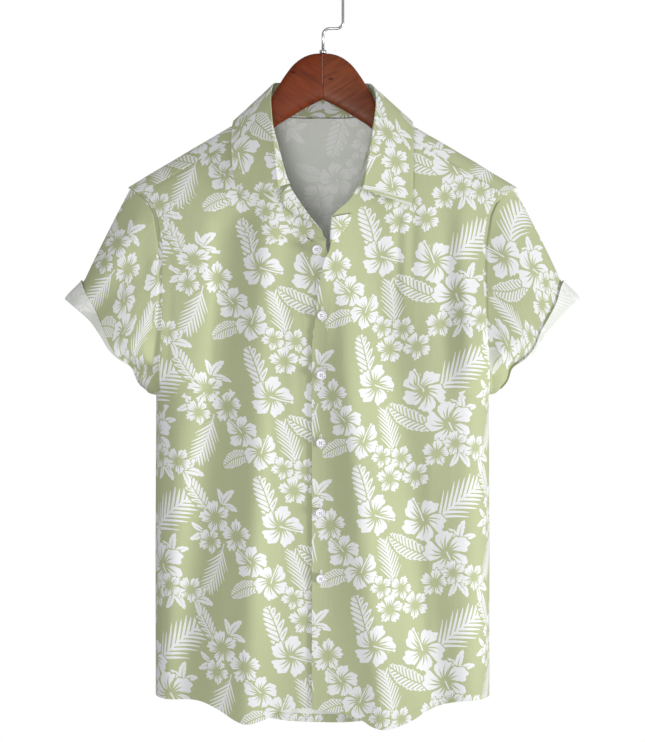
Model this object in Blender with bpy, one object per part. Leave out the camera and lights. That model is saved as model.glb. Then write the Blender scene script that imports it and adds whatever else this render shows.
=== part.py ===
"""A short-sleeved hawaiian shirt hanging open-necked on a wooden hanger.

Lengths in the tables are millimetres and are turned into metres when a mesh is made.
+X is the wearer's left, the front faces -Y, +Z is up and the origin is the inner crown of
the hanger's hook.  The upper body is drawn in two numbers: x across the shoulders and s, the
signed square root of the drop below the shoulder ridge (front negative, back positive).
"""
import math

import bpy
import numpy as np

MM = 0.001

# ---- cloth -------------------------------------------------------------------------------
WALL = 1.5              # thickness of every cloth wall
SEAM_GAP = 0.6          # space left between two pieces along a seam
LAY_OFF = 2.4           # mid-surface distance of a piece that lies on another

# ---- shoulder ridge ----------------------------------------------------------------------
RIDGE_TOP = -108.4      # height the two shoulder slopes would meet at
RIDGE_SLOPE = 0.617     # fall of the shoulder line per unit of width
RIDGE_ROUND = 30.0      # rounding of the ridge between the two shoulders

# ---- depth of the hanging body: depth = rise * s - settle * s * s -------------------------
FRONT_RISE, FRONT_SETTLE = 4.3, 0.065
BACK_RISE, BACK_SETTLE = 5.0, 0.08
SIDE_POWER = 9.0        # how squarely the body turns at its sides

# height, half width of the body's outline carried through the armholes
BODY_Z = (-960.0, -700.0, -510.9, -500.0, -480.0, -440.0, -400.0, -331.0, -280.0, -257.0, -200.0)
BODY_W = (203.0, 203.5, 202.72, 207.5, 216.0, 227.0, 233.0, 242.0, 258.0, 268.0, 290.0)

# height, half width of the armhole seam
ARM_Z = (-511.0, -420.0, -368.0, -331.0, -294.0, -280.0, -269.0, -263.0, -257.0)
ARM_X = (202.7, 199.0, 197.8, 199.0, 206.0, 212.5, 221.0, 229.0, 238.5)
UNDERARM_Z = -511.0
SHOULDER_Z = -257.0

BODY_HEART = (0.0, 0.0, -400.0)   # a point inside the body that every wall faces away from

# ---- folds of the body -------------------------------------------------------------------
# columns: x at its top, x at its foot, height of its top, height it is full at, half width, rise
FRONT_FOLDS = (
    (-105.0, -168.0, -262.0, -320.0, 22.0, -9.0),
    (-105.0, -166.0, -420.0, -760.0, 28.0, -9.0),
    (-66.0, -90.0, -262.0, -330.0, 20.0, 6.0),
    (-66.0, -90.0, -400.0, -700.0, 24.0, 5.0),
    (-208.0, -211.0, -300.0, -500.0, 26.0, 9.0),
    (4.0, 4.0, -245.0, -300.0, 24.0, 8.0),
    (4.0, 4.0, -335.0, -420.0, 24.0, -8.0),
    (14.0, 70.0, -350.0, -520.0, 20.0, 11.0),
    (38.0, 95.0, -350.0, -520.0, 34.0, 8.0),
    (26.0, 38.0, -560.0, -760.0, 22.0, 5.0),
    (60.0, 138.0, -300.0, -420.0, 26.0, -10.0),
    (190.0, 194.0, -330.0, -480.0, 33.0, 14.0),
)
BACK_FOLDS = (
    (-146.0, -150.0, -420.0, -600.0, 21.0, -9.0),
    (-104.0, -112.0, -360.0, -560.0, 22.0, 8.0),
    (-58.0, -62.0, -330.0, -520.0, 21.0, -10.0),
    (-8.0, -4.0, -320.0, -540.0, 25.0, 8.0),
    (48.0, 56.0, -330.0, -520.0, 20.0, -9.0),
    (96.0, 108.0, -380.0, -580.0, 22.0, 9.0),
    (140.0, 152.0, -440.0, -620.0, 19.0, -9.0),
)
FOLD_FOOT_Z = -900.0

# ---- front edges -------------------------------------------------------------------------
OVERLAP = 1.35          # each front leaves the common surface by this where they overlap
OVERLAP_FADE = (26.0, 62.0)
# height, x of the free edge of the left front (it lies on top)
TOP_EDGE_Z = (-900.0, -478.0, -442.0, -415.0, -392.0, -367.0, -356.0, -346.0, -340.0, -328.0, -296.0)
TOP_EDGE_X = (-12.8, -12.8, -11.2, -8.4, -6.0, -1.9, 0.5, 3.6, 7.2, 9.8, 11.4)
# height, x of the free edge of the right front (hidden below the first button)
UNDER_EDGE_Z = (-900.0, -370.0, -350.0, -335.0, -323.0, -312.0)
UNDER_EDGE_X = (10.0, 10.0, 7.0, 3.6, 2.4, -1.2)
# neck edges from the front edge up to the yoke seam, x and height
LEFT_NECK = ((11.4, -296.0), (20.0, -287.0), (30.0, -278.5), (38.0, -268.0), (44.5, -254.0),
             (50.0, -236.0), (56.0, -213.0), (61.0, -192.0), (66.5, -178.2))
RIGHT_NECK = ((-1.2, -312.0), (-13.2, -298.8), (-22.9, -285.6), (-32.6, -272.0), (-42.4, -254.0),
              (-47.5, -238.0), (-53.5, -215.0), (-60.0, -192.0), (-66.5, -178.2))

# ---- yoke --------------------------------------------------------------------------------
YOKE_FRONT_X, YOKE_FRONT_Z, YOKE_FRONT_FALL = 109.5, -202.8, 0.571
YOKE_BACK_Z, YOKE_BACK_FALL = -277.0, 0.09
# neck edge of the yoke from the centre back to its front corner: x and s
YOKE_NECK = ((0.0, 5.65), (20.0, 5.45), (40.0, 4.75), (58.0, 3.55), (69.0, 2.1), (75.5, 0.4),
             (74.5, -1.7), (70.5, -3.3), (66.5, -4.54))
YOKE_ROWS = 11
YOKE_CREST_ROW, YOKE_LEAST_CREST = 3, 0.18   # this row runs along the shoulder ridge
YOKE_SEAM_COLUMNS = 10
YOKE_CORNER_BACK_X = 105.0   # where the column from the front corner reaches the back seam

ROW_CROWDING = 1.35          # rows of the panels lie closer together toward their tops

SIDE_TRIM = 0.004           # narrows a panel so that its edge stops half a gap short of the side

# ---- hems --------------------------------------------------------------------------------
RIGHT_HEM = ((-204.0, -875.0), (-181.0, -876.5), (-148.0, -877.0), (-126.0, -885.0),
             (-104.0, -898.0), (-89.0, -902.0), (-75.0, -899.0), (-62.0, -894.0),
             (-48.0, -886.0), (-13.0, -884.0), (12.0, -885.0))
LEFT_HEM = ((-14.0, -885.0), (0.0, -887.0), (20.0, -889.5), (44.0, -896.0), (58.0, -904.0),
            (71.0, -907.5), (85.0, -906.0), (107.0, -898.0), (122.0, -889.5), (141.0, -881.5),
            (164.0, -876.5), (182.0, -875.5), (204.0, -875.5))
BACK_HEM = ((-204.0, -875.0), (-150.0, -886.0), (-100.0, -905.0), (-50.0, -919.0),
            (0.0, -924.0), (50.0, -920.0), (100.0, -907.0), (150.0, -887.0), (204.0, -875.5))

# ---- sleeves -----------------------------------------------------------------------------
SLEEVE_COLUMNS = 26
SLEEVE_START = 1.6           # distance of the sleeve's first ring from the armhole seam
CUFF_TOP = (301.0, -395.0)   # x and height of the highest point of the sleeve's opening
CUFF_FOOT = (215.0, -503.0)  # and of its lowest
CUFF_HALF_DEPTH = 42.0
CUFF_FLARE, FLARE_FROM = 12.0, 0.82
SLEEVE_ROWS = (0.0, 0.1, 0.22, 0.34, 0.46, 0.58, 0.70, 0.845, 0.92, 1.0)   # shares of its length
TURNUP_ROWS = (0.845, 0.92, 0.995)    # the turned-up hem lies on the last of them
TURNUP_SLANT = 0.78          # share of its depth that the turned-up hem loses down the sleeve
SLANT_POWER = 2.5
CAP_FULLNESS = 7.0
# columns: angle at the armhole, angle at the opening (0 top, 90 front), half width, rise
LEFT_SLEEVE_FOLDS = ((130.0, 96.0, 13.0, 6.0), (150.0, 122.0, 13.0, -7.0), (62.0, 48.0, 16.0, 3.0),
                     (250.0, 262.0, 20.0, 4.0), (222.0, 232.0, 14.0, -5.0))
RIGHT_SLEEVE_FOLDS = ((126.0, 98.0, 14.0, 6.0), (148.0, 122.0, 13.0, -7.0),
                      (70.0, 56.0, 15.0, -4.0), (42.0, 34.0, 14.0, 3.0),
                      (255.0, 258.0, 20.0, 4.0), (225.0, 236.0, 14.0, -5.0))

# ---- collar ------------------------------------------------------------------------------
# columns: length along the neck seam from the centre back, fold x y z, outer edge x y z
COLLAR_RIGHT_HAND = (
    (0.0, 0.0, 33.0, -127.0, 0.0, 37.0, -191.0),
    (35.0, 30.0, 30.0, -127.0, 45.0, 36.0, -189.0),
    (65.0, 50.0, 20.0, -128.5, 84.0, 24.0, -185.0),
    (86.0, 58.5, 8.0, -130.5, 104.0, 8.0, -176.5),
    (98.0, 62.5, -4.0, -136.0, 109.5, -8.0, -178.5),
    (112.0, 65.5, -18.0, -152.0, 110.5, -21.0, -192.0),
    (134.0, 62.0, -35.0, -184.0, 110.0, -32.0, -213.0),
    (162.0, 57.5, -47.0, -214.0, 109.5, -38.0, -240.0),
    (186.0, 53.0, -53.0, -238.0, 109.0, -43.0, -262.0),
    (203.0, 50.5, -56.0, -254.0, 108.5, -46.0, -276.0),
    (214.0, 48.8, -57.0, -264.5, 106.5, -48.0, -284.0),
)
COLLAR_LEFT_HAND = (
    (0.0, 0.0, 33.0, -127.0, 0.0, 37.0, -191.0),
    (35.0, -30.0, 30.0, -127.0, -45.0, 36.0, -189.0),
    (65.0, -50.0, 20.0, -128.0, -84.0, 24.0, -185.0),
    (86.0, -58.0, 8.0, -129.5, -103.0, 8.0, -176.0),
    (98.0, -61.5, -4.0, -135.0, -108.5, -8.0, -178.0),
    (112.0, -63.0, -18.0, -152.0, -110.0, -21.0, -193.0),
    (134.0, -60.5, -35.0, -186.0, -110.0, -32.0, -212.0),
    (162.0, -57.5, -47.0, -216.0, -108.5, -38.0, -236.0),
    (182.0, -55.0, -53.0, -240.0, -104.0, -43.0, -262.0),
    (197.0, -52.8, -56.0, -261.0, -99.5, -48.0, -280.5),
)
COLLAR_CLEAR = 2.5           # mid-surface distance kept from what lies under the leaf
COLLAR_SEAM_OFF = 1.9        # distance of the collar's first row from the neck edge
COLLAR_ROLL = 3.2            # distance from the crest of the roll to where it ends
COLLAR_RISE_FROM, COLLAR_RISE_TO = 50.0, 88.0    # where the seam turns from level to steep

# ---- facings that roll outward at the neck: fold x, fold z, free x, free z ----------------
RIGHT_FACING = ((-40.6, -258.5, -50.3, -268.5), (-37.5, -264.5, -49.4, -275.0),
                (-31.8, -273.5, -46.5, -281.5), (-23.2, -286.0, -41.5, -288.5),
                (-13.6, -299.0, -29.5, -295.0), (-5.0, -308.5, -14.5, -302.0))
LEFT_FACING = ((11.6, -297.5, 36.0, -292.5), (10.9, -305.0, 32.6, -303.0),
               (10.4, -313.0, 24.5, -315.0), (10.0, -321.0, 17.0, -323.5),
               (9.7, -328.0, 11.6, -329.0))

# ---- buttons -----------------------------------------------------------------------------
BUTTON_R, BUTTON_THICK, BUTTON_RIM = 5.9, 2.2, 1.3
HOLE_R, HOLE_SPREAD = 0.75, 1.7
BUTTONS = ((-6.7, -336.8), (-0.6, -415.6), (-1.3, -487.2), (-2.1, -568.0), (-2.5, -651.6),
           (-1.9, -729.9))

# ---- hanger ------------------------------------------------------------------------------
# columns: x, height of the upper edge, height of the lower edge, half thickness, roundness
HANGER = ((0.2, -93.8, -150.4, 7.0, 0.6), (12.0, -94.8, -156.0, 7.0, 0.6),
          (24.0, -99.2, -162.6, 7.0, 0.6), (35.5, -108.0, -169.5, 7.0, 0.6),
          (45.0, -120.0, -175.3, 7.0, 0.6), (54.0, -134.0, -181.0, 7.0, 0.6),
          (61.0, -145.5, -187.0, 7.0, 0.6), (65.0, -156.5, -190.5, 7.0, 0.65),
          (70.0, -167.8, -193.5, 7.0, 0.75), (77.0, -170.9, -197.0, 7.0, 0.85),
          (95.0, -177.8, -203.0, 7.3, 1.0), (110.0, -185.1, -209.0, 7.3, 1.0),
          (130.0, -196.4, -220.0, 7.3, 1.0), (150.0, -208.1, -232.0, 7.3, 1.0),
          (170.0, -219.9, -243.5, 7.0, 1.0), (190.0, -231.7, -255.0, 6.8, 1.0),
          (205.0, -241.1, -263.0, 6.3, 1.0), (213.0, -248.9, -266.0, 5.0, 1.0),
          (217.0, -255.5, -263.0, 3.0, 1.0))
HANGER_SECTION = 16
FERRULE_R, FERRULE_LOW, FERRULE_HIGH = 4.3, -93.4, -89.6
WIRE_R = 1.7
HOOK_R = 25.0
HOOK_CENTRE_Z = -(HOOK_R - WIRE_R)
HOOK_SHAFT_X = 0.6
HOOK_BEND_Z = -63.5
HOOK_BEND_R = 8.0
HOOK_END_ANGLE = 186.0

# ---- colours (linear) and surface ---------------------------------------------------------
PRINT_GREEN = (0.44, 0.47, 0.33, 1.0)
WRONG_SIDE = (0.60, 0.62, 0.63, 1.0)
FACING_PALE = (0.52, 0.55, 0.42, 1.0)
BUTTON_WHITE = (0.66, 0.65, 0.70, 1.0)
WOOD_LIGHT = (0.22, 0.075, 0.032, 1.0)
WOOD_DARK = (0.15, 0.048, 0.024, 1.0)
STEEL = (0.62, 0.62, 0.62, 1.0)


def spline(points, count):
    """Smooth curve through the points, sampled evenly along its length."""
    pts = np.asarray(points, dtype=float)
    if len(pts) == 2:
        return pts[0] + np.linspace(0.0, 1.0, count)[:, None] * (pts[1] - pts[0])
    ends = np.vstack((2.0 * pts[0] - pts[1], pts, 2.0 * pts[-1] - pts[-2]))
    fine = []
    steps = np.linspace(0.0, 1.0, 12, endpoint=False)[:, None]
    for i in range(1, len(ends) - 2):
        a, b, c, d = ends[i - 1], ends[i], ends[i + 1], ends[i + 2]
        fine.append(0.5 * (2.0 * b + (c - a) * steps + (2.0 * a - 5.0 * b + 4.0 * c - d) * steps ** 2
                           + (3.0 * b - a - 3.0 * c + d) * steps ** 3))
    fine = np.vstack(fine + [pts[-1:]])
    return along(fine, np.linspace(0.0, 1.0, count))


def along(points, share):
    """Points at the given shares of a polyline's length."""
    lengths = np.concatenate(([0.0], np.cumsum(np.linalg.norm(np.diff(points, axis=0), axis=1))))
    at = np.asarray(share) * lengths[-1]
    return np.stack([np.interp(at, lengths, points[:, k]) for k in range(points.shape[1])], axis=-1)


def smooth_step(value, start, stop):
    t = np.clip((value - start) / (stop - start), 0.0, 1.0)
    return t * t * (3.0 - 2.0 * t)


def ridge(x):
    """Height of the shoulder ridge."""
    return RIDGE_TOP - np.hypot(RIDGE_SLOPE * x, RIDGE_ROUND)


def body_width(z):
    return np.interp(z, BODY_Z, BODY_W)


def arm_x(z):
    """Half width of the armhole seam, and of the side seam below it."""
    z = np.asarray(z, dtype=float)
    return np.where(z < UNDERARM_Z, body_width(z), np.interp(z, ARM_Z, ARM_X))


def side_turn(x, z):
    """Falls from one at the middle to nothing at the side seams."""
    share = np.clip(np.abs(x) / body_width(z), 0.0, 1.0)
    return np.sqrt(1.0 - share ** SIDE_POWER)


def folds(x, z, table):
    """Sum of the soft troughs and ridges of one side of the body."""
    total = np.zeros(np.broadcast(x, z).shape)
    for x_top, x_foot, z_top, z_full, half, rise in table:
        down = np.clip((z_top - z) / (z_top - FOLD_FOOT_Z), 0.0, 1.0)
        centre = x_top + (x_foot - x_top) * down
        total = total + rise * smooth_step(-z, -z_top, -z_full) * np.exp(-((x - centre) / half) ** 2)
    return total


def front_depth(x, z):
    s = np.sqrt(np.maximum(ridge(x) - z, 0.0))
    turn = side_turn(x, z)
    return (FRONT_RISE * s - FRONT_SETTLE * s * s + folds(x, z, FRONT_FOLDS)) * turn


def back_depth(x, z):
    s = np.sqrt(np.maximum(ridge(x) - z, 0.0))
    turn = side_turn(x, z)
    return (BACK_RISE * s - BACK_SETTLE * s * s + folds(x, z, BACK_FOLDS)) * turn


def upper_point(x, s):
    """A point of the shoulders from its two numbers."""
    z = ridge(x) - s * s
    y = np.where(s < 0.0, -front_depth(x, z), back_depth(x, z))
    return np.stack(np.broadcast_arrays(x, y, z), axis=-1)


def overlap(x):
    """How far a front leaves the common surface near the closing."""
    return OVERLAP * (1.0 - smooth_step(np.abs(x), *OVERLAP_FADE))


def material(name, colour, roughness, metallic=0.0):
    mat = bpy.data.materials.new(name)
    mat.use_nodes = True
    shader = mat.node_tree.nodes["Principled BSDF"]
    shader.inputs["Base Color"].default_value = colour
    shader.inputs["Roughness"].default_value = roughness
    shader.inputs["Metallic"].default_value = metallic
    mat.diffuse_color = colour
    return mat


def add_mesh(name, points, faces, mat, smooth=True):
    """Make the object, facing outwards, from points in millimetres."""
    points = np.asarray(points, dtype=float)
    volume = 0.0
    for face in faces:
        first = points[face[0]]
        for i in range(1, len(face) - 1):
            volume += np.dot(first, np.cross(points[face[i]], points[face[i + 1]]))
    if volume < 0.0:
        faces = [tuple(reversed(face)) for face in faces]
    mesh = bpy.data.meshes.new(name)
    mesh.from_pydata((points * MM).tolist(), [], [tuple(int(i) for i in face) for face in faces])
    mesh.materials.append(mat)
    mesh.update()
    mesh.shade_smooth() if smooth else mesh.shade_flat()
    obj = bpy.data.objects.new(name, mesh)
    bpy.context.scene.collection.objects.link(obj)
    return obj


def grid_normals(grid, ring):
    """Unit normals of a grid of points; ring closes its second direction."""
    down = np.gradient(grid, axis=0, edge_order=2)
    if ring:
        across = 0.5 * (np.roll(grid, -1, axis=1) - np.roll(grid, 1, axis=1))
    else:
        across = np.gradient(grid, axis=1, edge_order=2)
    normal = np.cross(across, down)
    return normal / np.maximum(np.linalg.norm(normal, axis=2, keepdims=True), 1e-9)


def shell(name, grid, mat, ring=False, wall=WALL):
    """Closed wall of even thickness about a grid of points."""
    rows, cols = grid.shape[:2]
    normal = grid_normals(grid, ring)
    outer = grid + normal * wall / 2.0
    inner = grid - normal * wall / 2.0
    points = np.vstack((outer.reshape(-1, 3), inner.reshape(-1, 3)))
    back = rows * cols
    faces = []
    spans = cols if ring else cols - 1
    for i in range(rows - 1):
        for j in range(spans):
            a = i * cols + j
            b = i * cols + (j + 1) % cols
            c, d = b + cols, a + cols
            faces.append((a, b, c, d))
            faces.append((a + back, d + back, c + back, b + back))
    for j in range(spans):
        for i, turned in ((0, True), (rows - 1, False)):
            a = i * cols + j
            b = i * cols + (j + 1) % cols
            rim = (a, b, b + back, a + back)
            faces.append(tuple(reversed(rim)) if turned else rim)
    if not ring:
        for i in range(rows - 1):
            for j, turned in ((0, False), (cols - 1, True)):
                a = i * cols + j
                b = a + cols
                rim = (a, b, b + back, a + back)
                faces.append(tuple(reversed(rim)) if turned else rim)
    return add_mesh(name, points, faces, mat)


def yoke_front_z(x):
    return YOKE_FRONT_Z - YOKE_FRONT_FALL * (np.abs(x) - YOKE_FRONT_X)


def yoke_back_z(x):
    return YOKE_BACK_Z - YOKE_BACK_FALL * np.abs(x)


def meet_armhole(seam_z):
    """x where a seam that runs across reaches the armhole."""
    x = 210.0
    for _ in range(80):
        x = 0.5 * (x + float(arm_x(seam_z(x))))
    return x


def panel(edge_in, edge_out, top, hem, depth, face, rows):
    """Grid of a body panel between two edges, from its top line to its hem.

    edge_in and edge_out give x for a height, top has the x and height of each column's top,
    hem is the hem line, and depth is the distance of the cloth from the middle plane.
    """
    cols = len(top)
    share = np.linspace(0.0, 1.0, cols)
    start = top
    hem = np.asarray(hem)

    def angle(x, z):
        return np.arcsin(np.clip(x / body_width(z), -1.0, 1.0))

    def place(part, z):
        low, high = angle(edge_in(z), z), angle(edge_out(z), z)
        return body_width(z) * np.sin(low + (high - low) * part)

    low, high = angle(edge_in(start[:, 1]), start[:, 1]), angle(edge_out(start[:, 1]), start[:, 1])
    part_top = (angle(start[:, 0], start[:, 1]) - low) / (high - low)
    foot = np.full(cols, hem[:, 1].mean())
    for _ in range(20):
        foot = np.interp(place(share, foot), hem[:, 0], hem[:, 1])
    down = np.linspace(0.0, 1.0, rows)[:, None] ** ROW_CROWDING
    settle = smooth_step(down, 0.0, 0.45)
    part = part_top[None, :] + (share - part_top)[None, :] * settle
    z = start[None, :, 1] + (foot - start[:, 1])[None, :] * down
    index = np.arange(rows, dtype=float)
    for column, weight in ((0, (1.0 - share) ** 3), (cols - 1, share ** 3)):
        if abs(x_at_underarm(edge_in if column == 0 else edge_out)) > ARM_X[1]:
            row = int(np.argmin(np.abs(z[:, column] - UNDERARM_Z)))
            hat = np.minimum(index / row, (rows - 1 - index) / (rows - 1 - row))
            z = z + (UNDERARM_Z - z[row, column]) * hat[:, None] * weight[None, :]
    x = place(part, z)
    return np.stack((x, face * depth(x, z), z), axis=2)


def x_at_underarm(edge):
    return float(edge(np.array(UNDERARM_Z)))


def seam_side(face):
    """Keep a panel's side edge half a seam gap away from the side seam."""
    def trim(z):
        z = np.asarray(z, dtype=float)
        return np.where(z < UNDERARM_Z, body_width(z) - SIDE_TRIM, arm_x(z)) * face
    return trim


def front_top(neck, side):
    """Top of each column of a front: along the neck edge, then along the yoke seam."""
    end_x = meet_armhole(yoke_front_z)
    seam_x = side * np.linspace(abs(neck[-1][0]), end_x, YOKE_SEAM_COLUMNS)
    seam = np.stack((seam_x, yoke_front_z(seam_x) - SEAM_GAP / 2.0), axis=1)
    return np.vstack((spline(neck, 10)[:-1], seam))


def left_front():
    return panel(lambda z: np.interp(z, TOP_EDGE_Z, TOP_EDGE_X), seam_side(1.0),
                 front_top(LEFT_NECK, 1.0), LEFT_HEM,
                 lambda x, z: front_depth(x, z) + overlap(x), -1.0, 23)


def right_front():
    return panel(lambda z: np.interp(z, UNDER_EDGE_Z, UNDER_EDGE_X), seam_side(-1.0),
                 front_top(RIGHT_NECK, -1.0), RIGHT_HEM,
                 lambda x, z: front_depth(x, z) - overlap(x), -1.0, 23)


def back():
    end_x = meet_armhole(yoke_back_z)
    seam_x = np.linspace(-end_x, end_x, 33)
    top = np.stack((seam_x, yoke_back_z(seam_x) - SEAM_GAP / 2.0), axis=1)
    return panel(seam_side(-1.0), seam_side(1.0), top, BACK_HEM, back_depth, 1.0, 19)


def yoke():
    """The yoke, drawn in x and s from its front and neck edges to its back seam."""
    neck = spline(YOKE_NECK, 13)
    front_end = meet_armhole(yoke_front_z)
    back_end = meet_armhole(yoke_back_z)
    front_x = np.linspace(neck[-1, 0], front_end, YOKE_SEAM_COLUMNS)
    front_s = -np.sqrt(ridge(front_x) - yoke_front_z(front_x) - SEAM_GAP / 2.0)
    start = np.vstack((neck[:-1], np.stack((front_x, front_s), axis=1)))
    stop_x = np.concatenate((np.linspace(0.0, YOKE_CORNER_BACK_X, 13),
                             np.linspace(YOKE_CORNER_BACK_X, back_end, YOKE_SEAM_COLUMNS)[1:]))
    stop_s = np.sqrt(ridge(stop_x) - yoke_back_z(stop_x) - SEAM_GAP / 2.0)
    stop = np.stack((stop_x, stop_s), axis=1)
    crest = np.maximum(-start[:, 1] / (stop[:, 1] - start[:, 1]), YOKE_LEAST_CREST)
    to_crest = np.linspace(0.0, 1.0, YOKE_CREST_ROW + 1)[:, None] * crest
    past_crest = np.linspace(0.0, 1.0, YOKE_ROWS - YOKE_CREST_ROW)[1:, None] * (1.0 - crest)
    across = np.vstack((to_crest, crest + past_crest))[:, :, None]
    half = start[None] + (stop - start)[None] * across
    edge_s = half[:, -1, 1]
    edge_x = np.full(YOKE_ROWS, front_end)
    for _ in range(60):
        edge_x = 0.5 * (edge_x + arm_x(ridge(edge_x) - edge_s ** 2))
    pull = np.linspace(0.0, 1.0, YOKE_SEAM_COLUMNS)[None, :] ** 2
    half[:, 12:, 0] += (edge_x - half[:, -1, 0])[:, None] * pull
    mirror = half[:, :0:-1] * np.array((-1.0, 1.0))
    plan = np.concatenate((mirror, half), axis=1)
    return upper_point(plan[:, :, 0], plan[:, :, 1])


def armhole(count, side):
    """Closed armhole curve, from the shoulder round the front, underarm and back."""
    turn = np.linspace(0.0, 2.0 * math.pi, count, endpoint=False)
    middle, half = (SHOULDER_Z + UNDERARM_Z) / 2.0, (SHOULDER_Z - UNDERARM_Z) / 2.0
    z = middle + half * np.cos(turn)
    x = arm_x(z)
    y = np.where(turn < math.pi, -front_depth(x, z), back_depth(x, z))
    y[np.abs(np.sin(turn)) < 1e-6] = 0.0
    return turn, np.stack((side * x, y, z), axis=1)


def sleeve_grid(side, fold_table, shares, lift, slant=0.0):
    """Sleeve at the given shares of its length, moved out by lift.

    A slant draws the shares towards the opening, more so the lower they are round the sleeve.
    """
    turn, seam = armhole(SLEEVE_COLUMNS, side)
    top, foot = np.array(CUFF_TOP), np.array(CUFF_FOOT)
    centre, half = (top + foot) / 2.0, (top - foot) / 2.0
    end = np.stack((side * (centre[0] + half[0] * np.cos(turn)),
                    -CUFF_HALF_DEPTH * np.sin(turn),
                    centre[1] + half[1] * np.cos(turn)), axis=1)
    kept = 1.0 - slant * (1.0 - (0.5 + 0.5 * np.cos(turn)) ** SLANT_POWER)
    share = 1.0 - (1.0 - np.array(shares)[:, None]) * kept[None, :]
    length = np.linalg.norm(end - seam, axis=1)[None, :]
    share = share + (1.0 - share) * np.minimum(SLEEVE_START / length, 0.2)
    grid = seam[None] + (end - seam)[None] * share[:, :, None]
    outward = np.stack((side * 0.75 * (1.0 + 0.0 * turn), -np.sin(turn), 0.55 * np.cos(turn)), axis=1)
    outward = outward / np.linalg.norm(outward, axis=1)[:, None]
    rise = CAP_FULLNESS * np.sin(math.pi * share) * (0.35 + 0.65 * np.abs(np.sin(turn)))[None, :]
    degrees = np.degrees(turn)[None, :]
    grow = smooth_step(share, 0.0, 0.25)
    for at_seam, at_end, half_wide, high in fold_table:
        middle = at_seam + (at_end - at_seam) * share
        rise = rise + high * grow * np.exp(-((degrees - middle) / half_wide) ** 2)
    grid = grid + outward[None] * rise[:, :, None]
    flare = CUFF_FLARE * smooth_step(share, FLARE_FROM, 1.0) * (0.5 + 0.5 * np.cos(turn))[None, :]
    grid[:, :, 0] += side * flare
    grid = grid + lift * side * grid_normals(grid, True)
    return grid


def neck_line(neck_front, side):
    """Neck seam of one side as points in space, from the centre back to the front edge."""
    yoke_part = spline(YOKE_NECK, 60)
    yoke_points = upper_point(yoke_part[:, 0], yoke_part[:, 1])
    front = spline(neck_front[::-1], 80)[1:]
    x = np.abs(front[:, 0]) * np.sign(side * front[:, 0])
    front_points = np.stack((x, -front_depth(x, front[:, 1]), front[:, 1]), axis=1)
    line = np.vstack((yoke_points, front_points))
    line[:, 0] *= side
    return line


def fine_layer(grid, times):
    """Points and normals of a grid's own flat quads, many to a quad."""
    step = np.linspace(0.0, 1.0, times, endpoint=False)
    down, across = step[:, None, None, None, None], step[None, :, None, None, None]
    a, b, c, d = grid[:-1, :-1], grid[:-1, 1:], grid[1:, 1:], grid[1:, :-1]
    points = (a * (1 - down) * (1 - across) + b * (1 - down) * across
              + c * down * across + d * down * (1 - across))
    normal = np.cross(c - a, b - d)
    normal = normal / np.linalg.norm(normal, axis=2, keepdims=True)
    outward = np.sum(normal * (a - np.array(BODY_HEART)))
    normal = normal * np.sign(outward)
    return points.reshape(-1, 3), np.broadcast_to(normal, points.shape).reshape(-1, 3)


def keep_off(points, layers, distance):
    """Move points out until they keep their distance from the layers below them."""
    moved = points.copy()
    for samples, normals in layers:
        for _ in range(3):
            for i, point in enumerate(moved):
                gap = samples - point
                nearest = int(np.argmin(np.einsum("ij,ij->i", gap, gap)))
                off = point - samples[nearest]
                height = float(np.dot(off, normals[nearest]))
                beside = math.sqrt(max(float(np.dot(off, off)) - height * height, 0.0))
                if height < distance and beside < 2.5:
                    moved[i] = point + normals[nearest] * (distance - height)
    return moved


def collar_side(table, neck_front, side, cols, layers):
    """Half of the collar: columns from the centre back to its front end."""
    table = np.asarray(table)
    seam_line = neck_line(neck_front, side)
    run = np.concatenate(([0.0], np.cumsum(np.linalg.norm(np.diff(seam_line, axis=0), axis=1))))
    fine = spline(table, 200)
    at = np.linspace(0.0, table[-1, 0], cols)
    fold = np.stack([np.interp(at, fine[:, 0], fine[:, 1 + k]) for k in range(3)], axis=1)
    outer = np.stack([np.interp(at, fine[:, 0], fine[:, 4 + k]) for k in range(3)], axis=1)
    seam = np.stack([np.interp(at, run, seam_line[:, k]) for k in range(3)], axis=1)
    ahead = np.gradient(seam, axis=0)
    ahead = ahead / np.linalg.norm(ahead, axis=1)[:, None]
    height = smooth_step(at, COLLAR_RISE_FROM, COLLAR_RISE_TO)[:, None]
    up = np.array((0.0, 0.0, 1.0))
    toward = -seam * np.array((1.0, 0.0, 0.0))
    toward = toward / np.maximum(np.linalg.norm(toward, axis=1), 1e-6)[:, None]
    off = up * (1.0 - height) + (toward + 0.35 * up) * height
    off = off - ahead * np.sum(off * ahead, axis=1)[:, None]
    off = off / np.linalg.norm(off, axis=1)[:, None]
    first = seam + off * COLLAR_SEAM_OFF
    face = np.cross(ahead, off)
    face = face * np.sign(np.sum(face * (fold - first), axis=1))[:, None]
    fall = outer - fold
    fall = fall / np.linalg.norm(fall, axis=1)[:, None]
    rise = fold - first
    rise = rise / np.linalg.norm(rise, axis=1)[:, None]
    roll_in = fold - rise * COLLAR_ROLL
    roll_out = keep_off(fold + fall * COLLAR_ROLL, layers, COLLAR_CLEAR)
    outer = keep_off(outer, layers, COLLAR_CLEAR)
    stand = first + (face * height + rise * (1.0 - height)) * COLLAR_CLEAR
    rows = [first, stand]
    rows += [keep_off(stand + (roll_in - stand) * t, layers, COLLAR_CLEAR) for t in (0.5, 1.0)]
    rows += [fold, roll_out]
    for t in (0.14, 0.3, 0.48, 0.66, 0.84, 1.0):
        rows.append(keep_off(roll_out + (outer - roll_out) * t, layers, COLLAR_CLEAR))
    return np.stack(rows, axis=0)


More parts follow.
